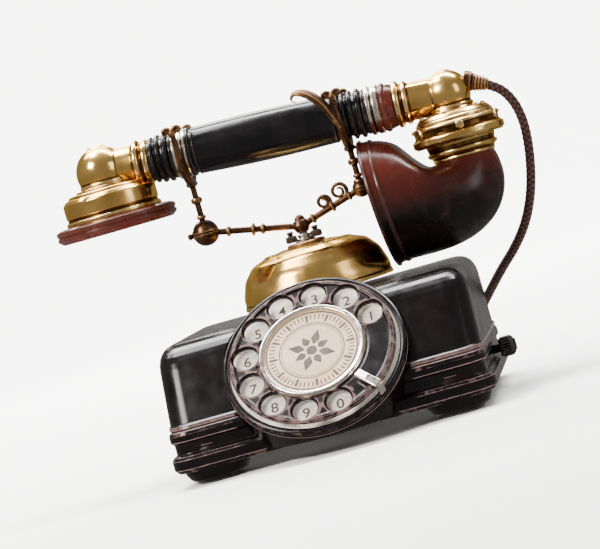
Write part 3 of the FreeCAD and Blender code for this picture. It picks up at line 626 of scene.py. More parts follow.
def coil_points():
    """Four turns, two beside each other and two on top, that change places over a short stretch."""
    low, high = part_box("cord_coil")
    middle = (low + high) / 2 / MM
    inner_gap = CORD_DIAMETER
    bundle = (high.x - low.x) / 2 / MM - inner_gap
    reach = inner_gap / math.sqrt(2)
    points = []
    per_turn, turns = 16, 4
    for i in range(-1, turns * per_turn + 1):
        passed = i / per_turn
        whole, share = math.floor(passed), passed - math.floor(passed)
        change = min(max((share - 0.80) / 0.17, 0.0), 1.0) if 0 <= whole < turns - 1 else 0.0
        change = change * change * (3 - 2 * change)
        place = math.radians(-45 - 90 * (min(max(whole, 0), turns - 1) + change))
        radius = bundle + reach * math.cos(place)
        height = inner_gap + reach * math.sin(place) + math.sin(math.pi * change)
        angle = math.radians(-90 - 360 * passed)
        points.append(Vector((middle.x + radius * math.cos(angle), middle.y + radius * math.sin(angle),
            height)))
    return points


def cord_line():
    """The cord's own smooth centreline, from its gland round the coil to the grommet, in metres."""
    points = [Vector(p) for p in CORD_ROUTE] + coil_points() + [Vector(p) for p in TAIL_ROUTE]
    curve = bpy.data.curves.new("cord_line", "CURVE")
    curve.dimensions = "3D"
    curve.resolution_u = 14
    spline = curve.splines.new("NURBS")
    spline.points.add(len(points) - 1)
    for held_point, p in zip(spline.points, points):
        held_point.co = (*(p * MM), 1.0)
    spline.order_u = 3
    spline.use_endpoint_u = True
    thing = put("cord_line", curve)
    line = [v.co.copy() for v in evaluated(thing).vertices]
    bpy.data.objects.remove(thing)
    return line


def evenly(line, step):
    """Points a fixed distance apart along a line."""
    result, carried = [line[0]], 0.0
    for start, end in zip(line, line[1:]):
        run = (end - start).length
        while run and carried + run >= step:
            share = (step - carried) / run
            start = start.lerp(end, share)
            result.append(start)
            run = (end - start).length
            carried = 0.0
        carried += run
    return result


def cord(gland):
    """The braided cord: carriers wind both ways round it and lift the surface where they pass over."""
    line = cord_line()
    path = evenly(line, BRAID_STEP * MM)
    core = CORD_DIAMETER / 2
    corners, rings, shades = [], [], []
    for i, here, normal, side in crossings(path):
        rings.append(list(range(len(corners), len(corners) + BRAID_SIDES)))
        wound = 2 * math.pi * i * BRAID_STEP / BRAID_PITCH
        for k in range(BRAID_SIDES):
            angle = 2 * math.pi * k / BRAID_SIDES
            right = math.cos((angle + wound) * BRAID_CARRIERS / 2)
            left = math.cos((angle - wound) * BRAID_CARRIERS / 2)
            radius = core - BRAID_RELIEF + BRAID_RELIEF * max(abs(right), abs(left))
            corners.append(here / MM + radius * (normal * math.cos(angle) + side * math.sin(angle)))
            shades.append(0.5 + 0.5 * (abs(right) - abs(left)))
    shades += [0.5, 0.5]
    mesh = mesh_of("braided_cord", pointed(corners, rings, path[0] / MM, path[-1] / MM))
    mesh.shade_smooth()
    attribute = mesh.attributes.new("carrier", "FLOAT", "POINT")
    attribute.data.foreach_set("value", shades)
    mesh.materials.append(materials["braid"])
    thing = put("braided_cord", mesh)
    length = sum((b - a).length for a, b in zip(path, path[1:]))
    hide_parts("handset_cord", "cord_coil", "cord_tail")
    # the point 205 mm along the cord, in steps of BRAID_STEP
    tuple(path[int(205 / 0.55)])
    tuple(path[0])
    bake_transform(thing)
    list(path[0])
    [list(p) for p in path]


# ---------------------------------------------------------------- base

def case_and_plinth():
    low, high = (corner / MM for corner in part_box("base_case"))
    foot, top = low.z, high.z

    def front_at(height):
        return low.y + CASE_SET_BACK * (height - foot) / (top - foot)

    wall = CASE_WALL
    outside = rounded([(24, top), (0, top, CASE_ROUND), (0, foot + 2.6, 1.0), (-0.8, foot + 2.0),
        (-0.8, foot + 0.6), (0, foot), (wall, foot), (wall, top - wall, CASE_ROUND - wall),
        (24, top - wall)], 0.4, closed=False)
    shell = stack(low.x, high.x, high.y, front_at, outside, CASE_ROUND, closed=False)
    drum = lathe(DIAL, [(0, -20.1), (DIAL_CUT, -20.1), (DIAL_CUT, 30), (0, 30)], 0)
    post = centre("gong")
    slot_x, slot_y = post.x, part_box("clapper")[1].y / MM - 4.5
    slot_cut = slab([(slot_x - 2.5, slot_y - 5.5), (slot_x + 2.5, slot_y - 5.5),
        (slot_x + 2.5, slot_y + 5.5), (slot_x - 2.5, slot_y + 5.5)], top - 8, top + 4, Axis((0, 0, 0)),
        0.01)
    calm(piece("case", "base", "black_paint", carved(shell, drum, slot_cut), stands_for=["base_case"],
        reach=1.6), DIAL, UNMARKED)

    low, high = (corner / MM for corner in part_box("plinth"))
    moulding = rounded([(11, 7), (1.8, 7), (0, 8.8), (0, 13.2), (1.0, 14.6), (3.0, 15.4, 1.2),
        (3.0, 20.0, 1.2), (1.6, 21.4), (1.6, 24.2), (2.4, 26), (11, 26)], 0.7)
    ring = stack(low.x, high.x, high.y, lambda height: low.y, moulding, 12.0, closed=True)
    calm(piece("moulded_plinth", "base", "black_paint", carved(ring, drum), stands_for=["plinth"],
        reach=1.4), DIAL, UNMARKED)


def feet():
    low, high = (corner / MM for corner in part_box("bun_feet"))
    rim = FOOT_RADIUS
    shapes = []
    for x in (low.x + rim, high.x - rim):
        for y in (low.y + rim, high.y - rim):
            axis = Axis((x, y, 0))
            shapes.append(lathe(axis, [(4.4, 1), (11, 1), (rim - 2.4, 2.4, 1.5), (rim - 0.2, 6.2, 4),
                (rim, 10.4, 4), (rim - 0.9, 14.2, 3), (rim - 2.4, 16.0, 0.4), (rim - 2.9, 16.8, 0.3),
                (rim - 2.6, 17.8, 0.5), (rim - 4.8, 20), (2.4, 20), (2.4, 4), (4.4, 4)], 0.6, sides=80))
    piece("turned_feet", "base", "black_iron", *shapes, stands_for=["bun_feet"])


def rear_fittings():
    for name, bore, sleeve in (("handset_cord_grommet", 2.6, 7.0), ("line_cord_inlet", 3.2, 8.0)):
        low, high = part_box(name)
        middle = (low + high) / 2 / MM
        axis = Axis((middle.x, low.y / MM, middle.z), Y, X)
        bottom, top, rim = axis.span(name)
        wall = 4.0
        rings = [(sleeve - 1.5 - 0.5 * k,
            wall + 3.4 + 1.5 * k) for k in range(int((top - wall - 3.4) / 1.5))]
        outline = [(bore, bottom), (rim - 2.2, bottom), (rim - 2.2, wall), (rim, wall), (rim, wall + 2.0),
            (rim - 0.8, wall + 2.8)]
        for radius, height in rings:
            outline += [(radius, height), (radius, height + 0.7), (radius - 0.7, height + 0.8),
                (radius - 0.7, height + 1.2)]
        outline += [(bore + 0.9, top), (bore, top)]
        piece(name + "_moulded", "base", "rubber_black", lathe(axis, outline, 0.3, sides=64),
            stands_for=[name])


def side_knob():
    low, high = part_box("side_knob")
    middle = (low + high) / 2 / MM
    axis = Axis((0, middle.y, middle.z), X, Y)
    bottom, top, rim = axis.span("side_knob")
    outer = top - 8.6
    piece("milled_knob", "side_knob", "ebonite", lathe(axis,
        [(0, bottom), (2.05, bottom), (2.05, outer + 0.4), (4.0, outer + 0.4), (rim, outer + 1.8),
        (rim, outer + 6.0), (3.9, outer + 7.6), (3.3, outer + 7.4), (2.6, outer + 8.4), (0, top)], 0.4,
        sides=144, ripple=(24, 0.45, outer + 1.4, outer + 6.6)), stands_for=["side_knob"])


# ---------------------------------------------------------------- dial

def around(radius, degrees):
    return radius * math.cos(math.radians(degrees)), radius * math.sin(math.radians(degrees))


def hole_angles():
    return [FIRST_HOLE + HOLE_STEP * k for k in range(10)]


def text_shape(word, size, axis, x, y, low, high):
    """A flat figure in the plain built-in face, standing a little proud of what it is printed on."""
    curve = bpy.data.curves.new("figure", "FONT")
    curve.body = word
    curve.size = size
    curve.align_x, curve.align_y = "CENTER", "CENTER"
    curve.offset = size * 0.012
    curve.extrude = (high - low) / 2
    thing = put("figure", curve)
    mesh = evaluated(thing)
    shape = ([axis.point(v.co.x + x, v.co.y + y, v.co.z + (low + high) / 2) for v in mesh.vertices],
        [list(p.vertices) for p in mesh.polygons])
    bpy.data.objects.remove(thing)
    return shape


def dial():
    plate_low, plate_top, plate_rim = DIAL.span("number_plate")
    piece("enamel_plate", "base", "enamel_white", lathe(DIAL,
        [(9, plate_low), (plate_rim, plate_low), (plate_rim, plate_top - 0.1), (plate_rim - 0.9, plate_top),
        (9, plate_top)], 0.3, sides=128), stands_for=["number_plate"])
    figures = [text_shape(str((k + 1) % 10), 7.4, DIAL, *around(HOLE_CIRCLE, angle), plate_top - 0.03,
        plate_top + 0.06) for k, angle in enumerate(hole_angles())]
    piece("dial_figures", "base", None, *figures, material="ink", sharp=20.0)

    low, top, rim = DIAL.span("finger_wheel")
    ring_rim = DIAL.span("card_ring")[2]
    face = low + 2.6
    blank = lathe(DIAL, [(3.05, low), (rim - 2, low), (rim, low + 1.2), (rim, low + 2.5), (rim - 0.9, top),
        (rim - 2.2, top), (rim - 3.2, face, 0.7), (ring_rim + 1.6, face), (ring_rim, face - 0.3),
        (ring_rim, 1.75), (3.05, 1.75)], 0.35, sides=160)
    cutters = []
    for angle in hole_angles():
        axis = DIAL.beside(*around(HOLE_CIRCLE, angle))
        cutters.append(lathe(axis, [(0, -2), (HOLE_RADIUS + 0.8, -2), (HOLE_RADIUS + 0.8, 0),
            (HOLE_RADIUS, 0.6), (HOLE_RADIUS, face - 0.9), (HOLE_RADIUS + 0.9, face + 0.02),
            (HOLE_RADIUS + 1.0, 6), (0, 6)], 0.5, sides=48))
    piece("drilled_wheel", "dial", "black_paint", carved(blank, joined(*cutters)),
        stands_for=["finger_wheel"], reach=0.9)

    card_low, card_top, card_rim = DIAL.span("dial_card")
    piece("printed_card", "dial", "card_cream", lathe(DIAL,
        [(0, card_low), (card_rim, card_low), (card_rim, card_top - 0.3), (card_rim - 2, card_top),
        (0, card_top)], 0.3, sides=128), stands_for=["dial_card"])
    low, top, rim = DIAL.span("card_ring")
    piece("rolled_ring", "dial", "nickel", lathe(DIAL, [(card_rim + 0.02, low), (rim - 0.02, low),
        (rim - 0.02, top - 1.0), (rim - 0.9, top, 0.9), (card_rim - 0.8, top - 0.2, 0.6),
        (card_rim - 0.8, card_top), (card_rim + 0.02, card_top)], 0.25, sides=128),
        stands_for=["card_ring"])
    print_low, print_top = card_top - 0.05, card_top + 0.05
    marks = [lathe(DIAL, [(r - w, print_low), (r, print_low), (r, print_top), (r - w, print_top)], 0,
        sides=128) for r, w in ((21.6, 0.7), (15.4, 0.5), (14.2, 0.25))]
    for k in range(60):
        axis = DIAL.beside(0, 0).turned(6 * k)
        long = k % 5 == 0
        half, start = (0.55, 16.2) if long else (0.28, 17.4)
        marks.append(slab([(start, -half), (20.0, -half * 1.3), (20.0, half * 1.3), (start, half)],
            print_low, print_top, axis, 0.02))
    for k in range(8):
        axis = DIAL.beside(0, 0).turned(45 * k + 22.5)
        length = 11.6 if k % 2 else 9.0
        petal = rounded([(3.2, 0, 0), (length * 0.55, 2.3, 2.0), (length, 0, 0.4),
            (length * 0.55, -2.3, 2.0)], 0.5)
        marks.append(slab([tuple(p) for p in petal], print_low, print_top, axis, 0.02))
    marks.append(lathe(DIAL, [(0, print_low), (2.5, print_low), (2.5, print_top), (0, print_top)], 0,
        sides=48))
    piece("card_print", "dial", None, *marks, material="ink", sharp=20.0)

    strip = DIAL.turned(STOP_ANGLE).turned(90, "X")
    outline = rounded([(42.6, -0.2, 0), (41.1, -0.2, 0), (41.1, 4.9, 0.5), (33, 4.9, 2.0), (28.2, 4.6, 0.6),
        (27.9, 5.9, 0.6), (34, 6.4, 2.0), (42.6, 6.4, 1.9)], 0.4)
    piece("bent_stop", "base", "nickel", slab([tuple(p) for p in outline], -1.8, 1.8, strip, 0.3),
        stands_for=["finger_stop"])

    depth = -20.0
    rim = DIAL.span("dial_housing")[2]
    hollow, recess = 34.0, plate_rim + 0.1
    ring = lathe(DIAL, [(hollow, depth), (rim, depth), (rim, -3.4), (rim - 0.7, -2.9), (rim - 0.7, -2.3),
        (rim, -1.8), (rim, -0.2, 0.9), (rim - 1.2, 0.35, 0.8), (recess, 0, 0.4), (recess, plate_low),
        (hollow, plate_low)], 0.35, sides=160)
    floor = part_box("dial_housing")[0].z / MM
    below = slab([(-90, -160), (90, -160), (90, 60), (-90, 60)], -60, floor, Axis((0, 0, 0)), 0.01)
    piece("dial_drum", "base", "black_paint", carved(ring, below), stands_for=["dial_housing"], reach=0.9)


# ---------------------------------------------------------------- gong and cradle

def gong():
    middle = centre("gong")
    axis = Axis((middle.x, middle.y, 0))
    low, top, rim = axis.span("gong")
    bore, wall = 3.3, 1.6
    outer = [(rim, low), (rim, low + 1.6, 0.8), (rim - 0.5, low + 2.2, 0.3), (rim - 0.6, low + 6, 8),
        (rim - 3.2, low + 14, 9), (rim - 8.5, low + 20, 6), (rim - 15.0, low + 22.4, 2),
        (rim - 15.6, low + 23.0, 0.5), (rim - 17.2, low + 23.2, 0.5), (rim - 18.0, low + 22.9, 0.4),
        (12, top), (bore, top)]
    inner = [(bore, top - wall), (11.5, top - wall), (rim - 17, low + 21.3, 4), (rim - 9.8, low + 18.4, 6),
        (rim - 4.8, low + 13, 8), (rim - 2.3, low + 5.6, 6), (rim - 1.8, low)]
    piece("spun_gong", "base", "polished_brass", lathe(axis, outer + inner, 0.3, sides=160),
        stands_for=["gong"])
    low, top, rim = axis.span("gong_cap_plate")
    piece("gong_washer", "base", "dark_bronze", lathe(axis,
        [(bore, low), (rim, low), (rim, low + 0.9), (rim - 1.0, low + 1.6), (rim - 2.6, low + 1.4),
        (5.2, top - 0.4), (4.4, top), (bore, top)], 0.3, sides=96), stands_for=["gong_cap_plate"])
    low, high = (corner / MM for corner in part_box("thumb_nuts"))
    rim = (high.y - low.y) / 2
    nuts = []
    for x in (low.x + rim, high.x - rim):
        at = Axis((x, (low.y + high.y) / 2, low.z))
        nuts.append(lathe(at, [(0, 0), (2.5, 0), (rim, 0.8), (rim, 2.6), (2.3, 3.2), (1.3, 3.5), (1.2, 4.0),
            (1.9, 4.8), (1.3, 5.5), (0, 5.6)], 0.3, sides=96, ripple=(16, 0.35, 0.6, 2.9)))
    piece("milled_nuts", "base", "black_iron", *nuts, stands_for=["thumb_nuts"])
    low, top, rim = axis.span("cradle_post")
    bore = 2.05
    foot = low + 12
    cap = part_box("gong_cap_plate")[1].z / MM
    piece("turned_post", "base", "nickel", lathe(axis, [(bore, low), (rim, low), (rim, foot), (3.2, foot),
        (3.2, cap - 0.6), (3.9, cap + 0.2), (3.9, cap + 0.8), (3.0, cap + 1.3), (2.8, top - 1.6),
        (3.3, top - 0.9), (3.3, top), (bore, top)], 0.3, sides=64), stands_for=["cradle_post"])


def turned_rod(start, end, beads, core):
    """A slim turned rod with beads, each (share of the length, radius, length of the bead)."""
    axis = Axis(start, end - start, Y)
    length = (end - start).length
    outline = [(0, 0), (core, 0)]
    for share, radius, run in sorted(beads):
        at = share * length
        outline += [(core, at - run), (core + (radius - core) * 0.8, at - run * 0.6),
            (radius, at, run * 0.5), (core + (radius - core) * 0.8, at + run * 0.6), (core, at + run)]
    outline += [(core, length), (0, length)]
    return lathe(axis, outline, 0.3, sides=40)


def curl(start, side, rise, size, wire):
    """A small ram's-horn curl: it rises from a point, leans to one side and winds back on itself."""
    line = []
    for k in range(26):
        t = k / 25
        angle = math.radians(180 - 400 * t)
        radius = size * (1 - 0.72 * t)
        across = side * (size * 0.95 + radius * math.cos(angle))
        line.append(start + Vector((across, 0, rise * min(1.0, t * 1.6) + radius * math.sin(angle))))
    return sweep([start - Z * 0.5] + line, lambda share: wire * (1 - 0.45 * share), sides=12)


def fork(name, leaf):
    """A bent rod that cups the handle, on a turned stem, with curled tips on both prongs."""
    low, high = (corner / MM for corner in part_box(name))
    x, y = (low.x + high.x) / 2, (low.y + high.y) / 2
    handle_z = HANDLE.point(0, 0, (x - HANDLE.matrix.translation.x) / HANDLE.matrix.col[2].x).z
    rod = 1.9
    clear = HANDLE.span("handle")[2] + 0.4 + rod
    reach = [Vector((x, y + clear * math.cos(math.radians(a)),
        handle_z + clear * math.sin(math.radians(a)))) for a in range(-180, 1, 9)]
    rise = [Vector((x, 0, handle_z + h)) for h in (3.5, 7.0, 10.0)]
    path = [Vector((x, y - clear - lean, r.z)) for r, lean in zip(rise[::-1],
        (1.1, 0.4, 0.0))] + reach + [Vector((x, y + clear + lean, r.z)) for r,
        lean in zip(rise, (0.0, 0.4, 1.1))]
    cup = sweep(smooth_line(path, 3), lambda share: rod * (0.72 + 0.35 * math.sin(math.pi * share)),
        sides=16)
    shapes = [cup]
    for end in (-1, 1):
        top = Vector((x, y + end * (clear + 1.1), handle_z + 10.0))
        for side in (-1, 1):
            shapes.append(curl(top, side, 2.2, 2.5, 1.25))
        shapes.append(lathe(Axis(top), [(0, -1.6), (1.9, -0.6), (2.1, 0.6, 0.8), (1.2, 2.2), (0, 3.0)], 0.5,
            sides=28))
    if leaf:
        shapes.append(acanthus(Vector((x, y - clear - 1.2, handle_z - 5.2))))
    stem_top = handle_z - clear
    shapes.append(turned_rod(Vector((x, y, low.z)), Vector((x, y, stem_top + 0.8)),
        ((0.16, 3.0, 1.6), (0.30, 2.4, 1.0), (0.62, 2.9, 1.8), (0.93, 3.1, 1.5)), 1.5))
    piece(name + "_wrought", "cradle", "dark_bronze", *shapes, stands_for=[name], reach=0.6)


def acanthus(root):
    """A long cast leaf that lies against the prong and curls over at its tip."""
    places = ((0, 0, 0), (-2.2, -1.4, 7), (-5.8, -1.8, 14.4), (-11.4, -1.2, 20.2), (-16.6, -0.4, 21.8),
        (-19.0, -0.2, 19.4), (-17.0, 0, 17.6))
    middle = smooth_line([root + Vector(place) for place in places], 6)
    blade = sweep(middle, lambda share: 0.6 + 2.9 * math.sin(math.pi * min(1.0,
        share * 1.15)) ** 0.8 * (1 - 0.6 * share), sides=16, squash=0.5)
    rib = sweep([p + Vector((0, -1.25, 0)) for p in middle], lambda share: 0.75 * (1 - 0.7 * share),
        sides=10)
    return joined(blade, rib)


def cradle():
    low, high = (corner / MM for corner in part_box("cross_bar"))
    post = centre("gong")
    left_x, right_x = centre("left_fork").x, centre("right_fork").x
    ball_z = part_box("left_fork")[0].z / MM
    bar_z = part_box("plunger")[1].z / MM + 3.0
    y = post.y
    middle = Vector((post.x, y, bar_z))
    left, right = Vector((left_x, y, ball_z)), Vector((right_x, y, ball_z))
    shapes = [turned_rod(middle, left, ((0.40, 2.7, 1.2), (0.50, 3.2, 1.0), (0.76, 2.6, 1.1)), 1.6),
        turned_rod(middle, right, ((0.20, 2.6, 1.0), (0.52, 2.9, 1.1), (0.80, 2.4, 0.8)), 1.6)]
    hub = Axis(middle)
    shapes.append(lathe(hub, [(0, -3.4), (2.2, -3.4), (3.2, -2.6), (3.4, -2.0), (4.6, 0, 1.6), (3.6, 2.4),
        (2.6, 3.2), (2.2, 4.4), (1.3, 5.4), (0, 5.8)], 0.5, sides=64))
    for x, rim in ((left_x, 6.5), (right_x, 4.4)):
        at = Axis((x, y, ball_z))
        ball = ball_outline(rim, 16)
        ball[8:9] = [(rim - 0.02, -0.45, 0.15), (rim - 0.45, 0, 0.2), (rim - 0.02, 0.45, 0.15)]
        shapes.append(lathe(at, ball, 0.2, sides=64))
    finial_end = low.x
    tail = Axis((left_x - 5.6, y, ball_z), -X, Y)
    reach = left_x - 5.6 - finial_end
    shapes.append(lathe(tail, [(0, -1), (2.4, -1), (2.6, 0.4), (1.3, 1.2), (1.2, reach * 0.4),
        (1.9, reach * 0.62, 0.6), (1.1, reach * 0.9), (0, reach)], 0.3, sides=40))
    climb = (ball_z - bar_z) / (right_x - post.x)
    for spot, size in ((13.5, 3.7), (22.0, 4.4)):
        line = []
        for k in range(40):
            t = k / 39
            angle = math.radians(-90 + 560 * t)
            radius = size * (1 - 0.68 * t)
            line.append(Vector((post.x + spot + radius * math.cos(angle), y,
                bar_z + climb * spot + size + 0.4 + radius * math.sin(angle))))
        shapes.append(sweep(line, lambda share: 1.15 * (1 - 0.45 * share), sides=12))
    piece("cast_cross_bar", "cradle", "dark_bronze", *shapes, stands_for=["cross_bar"], reach=0.6)
    fork("left_fork", leaf=False)
    fork("right_fork", leaf=True)


# ---------------------------------------------------------------- handset

def handle():
    low, top, rim = HANDLE.span("handle")
    bore = 4.9
    length = top - low
    swell = [(rim - 0.7 + 0.7 * math.sin(math.pi * k / 8), low + 4.4 + (length - 8.8) * k / 8,
        3.0) for k in range(9)]
    piece("handle_grip", "handset", "ebonite", lathe(HANDLE,
        [(bore, low), (rim - 0.3, low), (rim - 0.3, low + 1.6), (rim - 1.5, low + 2.2),
        (rim - 1.5, low + 3.0), (rim - 0.5, low + 3.6)] + swell + [(rim - 0.5, top - 3.6),
        (rim - 1.5, top - 3.0), (rim - 1.5, top - 2.2), (rim - 0.3, top - 1.6), (rim - 0.3, top),
        (bore, top)], 0.4, sides=96), stands_for=["handle"])
    for name in ("left_collar", "right_collar"):
        low, top, rim = HANDLE.span(name)
        run = top - low
        outline = [(bore, low), (rim - 2.2, low)]
        for share, size in ((0.14, 0.8), (0.42, 0.2), (0.72, 0.0), (0.93, 1.0)):
            at, half = low + share * run, run * 0.105
            outline += [(rim - size - 1.4, at - half), (rim - size, at - half * 0.5, 0.8),
                (rim - size, at + half * 0.5, 0.8), (rim - size - 1.4, at + half)]
        outline = [p for p in outline if p[1] <= top - 0.05] + [(rim - 2.4, top), (bore, top)]
        piece(name + "_turned", "handset", "ebonite", lathe(HANDLE, outline, 0.35, sides=96),
            stands_for=[name])
    low, top, rim = HANDLE.span("left_ferrule")
    piece("left_ferrule_rolled", "handset", "nickel", lathe(HANDLE,
        [(bore, low), (rim - 0.6, low), (rim, low + 0.6), (rim, low + 1.8), (rim - 0.8, low + 2.2),
        (rim - 0.8, low + 2.9), (rim - 0.1, low + 3.4, 0.8), (rim - 0.1, top - 2.4, 0.8),
        (rim - 0.8, top - 1.9), (rim - 0.8, top - 1.4), (rim, top - 1.0), (rim - 0.4, top), (bore, top)],
        0.35, sides=96), stands_for=["left_ferrule"])
    low, top, rim = HANDLE.span("right_ferrule")
    mid = low + 6.5
    piece("right_ferrule_rolled", "handset", "nickel", lathe(HANDLE,
        [(bore, low), (rim - 0.6, low), (rim, low + 0.6), (rim, low + 1.9), (rim - 0.9, low + 2.4),
        (rim - 0.9, low + 3.0), (rim - 0.1, low + 3.6, 0.8), (rim - 0.1, mid - 0.6), (rim - 0.8, mid),
        (bore, mid)], 0.35, sides=96), stands_for=["right_ferrule"])
    piece("right_ring_turned", "handset", "brown_ebonite",
        lathe(HANDLE, [(bore, mid), (rim - 1.2, mid), (rim - 0.2, mid + 1.2, 1.0), (rim, mid + 2.6, 1.0),
        (rim - 1.2, mid + 3.6), (rim - 1.2, mid + 4.2), (rim - 1.8, top), (bore, top)], 0.35, sides=96),
        stands_for=["right_ferrule"])


def screws(axis, count, circle, size, height, start=0.0):
    """Cheese-head screws set in a circle, each with its slot."""
    shapes = []
    for k in range(count):
        angle = start + 360 * k / count
        at = axis.beside(*around(circle, angle), height)
        head = lathe(at, [(0, -0.6), (size, -0.6), (size, 0.5), (size - 0.4, 1.0), (0, 1.1)], 0.25,
            sides=32)
        turned = Matrix.Rotation(math.radians(angle + 35), 2)
        blade = [tuple(turned @ Vector(p)) for p in ((-size * 1.3, -0.22), (size * 1.3, -0.22),
            (size * 1.3, 0.22), (-size * 1.3, 0.22))]
        shapes.append(carved(head, slab(blade, 0.45, 2.0, at, 0.01)))
    return shapes


def receiver():
    low, top, rim = RECEIVER.span("ear_cap")
    mouth = 3.0
    cap = lathe(RECEIVER, [(mouth, low + 3.2), (9, low + 2.9, 3), (18, low + 1.0, 4), (23.5, low),
        (rim - 2.4, low, 1.4), (rim, low + 2.0, 1.2), (rim, low + 3.2), (rim - 0.6, low + 3.6),
        (rim - 0.6, low + 4.1), (rim, low + 4.5), (rim, top - 1.2, 0.8), (rim - 2.4, top - 0.2),
        (25.0, top), (24.5, top), (21.1, top - 0.4), (21.1, top - 2.5), (mouth, top - 2.5)], 0.4, sides=128)
    sound = [lathe(RECEIVER.beside(*around(8.0, 60 * k)),
        [(0, low - 4), (1.3, low - 4), (1.3, top + 4), (0, top + 4)], 0, sides=20) for k in range(6)]
    piece("ear_cap_turned", "handset", "brown_ebonite", carved(cap, joined(*sound)), stands_for=["ear_cap"])
    low, top, rim = RECEIVER.span("receiver_cup")
    piece("cup_spun", "handset", "polished_brass", lathe(RECEIVER,
        [(rim - 2, low), (rim + 0.3, low, 0.6), (rim + 0.3, low + 1.8, 0.7), (rim - 0.8, low + 2.4),
        (rim - 0.9, low + 3.4), (rim - 0.3, low + 4.0), (rim - 0.3, top - 5.0, 1.6),
        (rim - 2.2, top - 3.0, 0.8), (rim - 3.4, top - 2.8), (rim - 4.4, top - 1.4, 1.0),
        (rim - 8, top - 0.9), (rim - 8.6, top), (2, top), (2, top - 2), (rim - 4.8, top - 2),
        (rim - 2, top - 4.8)], 0.4, sides=128), stands_for=["receiver_cup"])
    top = RECEIVER.span("receiver_elbow")[1]
    ball_z = top - 13.0
    knuckle = ball_shape(RECEIVER.point(0, 0, ball_z), 12.8)
    base = lathe(RECEIVER, [(0, 144.7), (12.6, 144.7), (12.6, 146.4), (11.4, 147.2), (10.4, 148.2),
        (11.2, 149.4), (0, 151)], 0.4, sides=96)
    start = HANDLE.inverse @ RECEIVER.point(0, 0, ball_z)
    end = HANDLE.span("left_collar")[0]
    neck = lathe(HANDLE, [(0, start.z), (9.6, start.z), (9.6, end - 8.2), (11.6, end - 7.2, 1.2),
        (11.6, end - 5.4, 1.2), (9.8, end - 4.6), (9.8, end - 3.6), (10.9, end - 2.8, 0.9),
        (10.9, end - 0.9, 0.9), (9.6, end), (0, end)], 0.4, sides=96)
    cap = lathe(RECEIVER, [(0, top - 6), (7.4, top - 3.4), (5.0, top - 1.4), (4.4, top - 0.7), (3.2, top),
        (0, top)], 0.6, sides=64)
    piece("receiver_elbow_cast", "handset", "polished_brass", cast(0.42, 5, knuckle, base, neck, cap),
        stands_for=["receiver_elbow"], reach=1.6)


def ball_outline(radius, count):
    """Half a circle for a lathe, in straight runs."""
    angles = [math.pi * k / count for k in range(1, count)]
    arc = [(radius * math.sin(a), -radius * math.cos(a), 0) for a in angles]
    return [(0, -radius, 0)] + arc + [(0, radius, 0)]


def ball_shape(middle, radius):
    return lathe(Axis(middle), ball_outline(radius, 24), 0, sides=64)


def sender():
    top = SENDER.span("sender_elbow")[1]
    middle_z = top - 11.5
    drum_top = SENDER.span("sender_drum")[1]
    start = HANDLE.span("right_ferrule")[1]
    centre_along = (HANDLE.inverse @ SENDER.point(0, 0, middle_z)).z
    neck = lathe(HANDLE, [(0, start), (9.6, start), (11.4, start + 0.8, 1.0), (11.4, start + 2.8, 1.0),
        (9.4, start + 3.6), (9.4, start + 4.4), (10.6, start + 5.2, 0.8), (10.6, start + 6.6, 0.8),
        (9.2, start + 7.4), (9.0, centre_along), (0, centre_along)], 0.4, sides=96)
    knuckle = ball_shape(SENDER.point(0, 0, middle_z), 11.4)
    throat = lathe(SENDER, [(0, middle_z), (9.6, middle_z), (9.6, drum_top + 3.4),
        (11.2, drum_top + 2.4, 1.0), (11.4, drum_top + 1.0), (13.0, drum_top), (0, drum_top)], 0.5,
        sides=96)
    button = lathe(SENDER, [(0, top - 5), (6.8, top - 3.2), (4.4, top - 1.3), (3.9, top - 0.6), (2.8, top),
        (0, top)], 0.6, sides=64)
    piece("sender_elbow_cast", "handset", "polished_brass", cast(0.42, 5, neck, knuckle, throat, button),
        stands_for=["sender_elbow"], reach=1.6)
    low, top, rim = SENDER.span("sender_drum")
    drum = lathe(SENDER, [(0, low), (rim, low), (rim, low + 1.4), (rim - 0.9, low + 2.0),
        (rim - 0.9, top - 1.8), (rim - 2.4, top - 0.4, 0.8), (rim - 4.6, top), (0, top)], 0.4, sides=128)
    piece("drum_turned", "handset", "polished_brass", drum, *screws(SENDER, 6, rim - 3.4, 1.3, top, 20.0),
        stands_for=["sender_drum"])
    low, top, rim = SENDER.span("sender_flange")
    flange = lathe(SENDER, [(18, low), (rim - 1.6, low, 0.8), (rim, low + 1.4, 0.8), (rim, low + 3.8, 0.8),
        (rim - 1.2, low + 4.8), (rim - 1.8, low + 5.4), (rim - 1.8, top - 2.4), (rim - 0.8, top - 1.8, 0.6),
        (rim - 0.8, top - 0.8, 0.6), (rim - 2.2, top), (2, top), (2, top - 1.6), (18, top - 1.6)], 0.4,
        sides=128)
    nuts = []
    for k in range(6):
        angle = math.radians(60 * k - 22)
        out = (SENDER.matrix.to_3x3() @ Vector((math.cos(angle), math.sin(angle), 0))).normalized()
        at = Axis(SENDER.point(*around(rim - 2.6, 60 * k - 22), (low + top) / 2 + 2.2), out, Z)
        nuts.append(lathe(at, [(0, 0), (2.3, 0), (2.3, 1.7), (1.5, 2.4), (0, 2.6)], 0.3, sides=6))
    piece("flange_turned", "handset", "polished_brass", flange, *nuts, stands_for=["sender_flange"])
    low, top, rim = SENDER.span("horn_socket")
    piece("socket_turned", "handset", "polished_brass",
        lathe(SENDER, [(6, low), (rim - 2.2, low), (rim - 1.6, low + 0.8), (rim - 1.9, low + 1.6),
        (rim - 1.2, low + 2.4), (rim + 0.2, low + 3.4, 0.8), (rim + 0.2, low + 4.6, 0.8),
        (rim - 0.8, low + 5.2), (rim - 0.4, top - 1.2), (rim, top), (6, top)], 0.4, sides=128),
        stands_for=["horn_socket"])


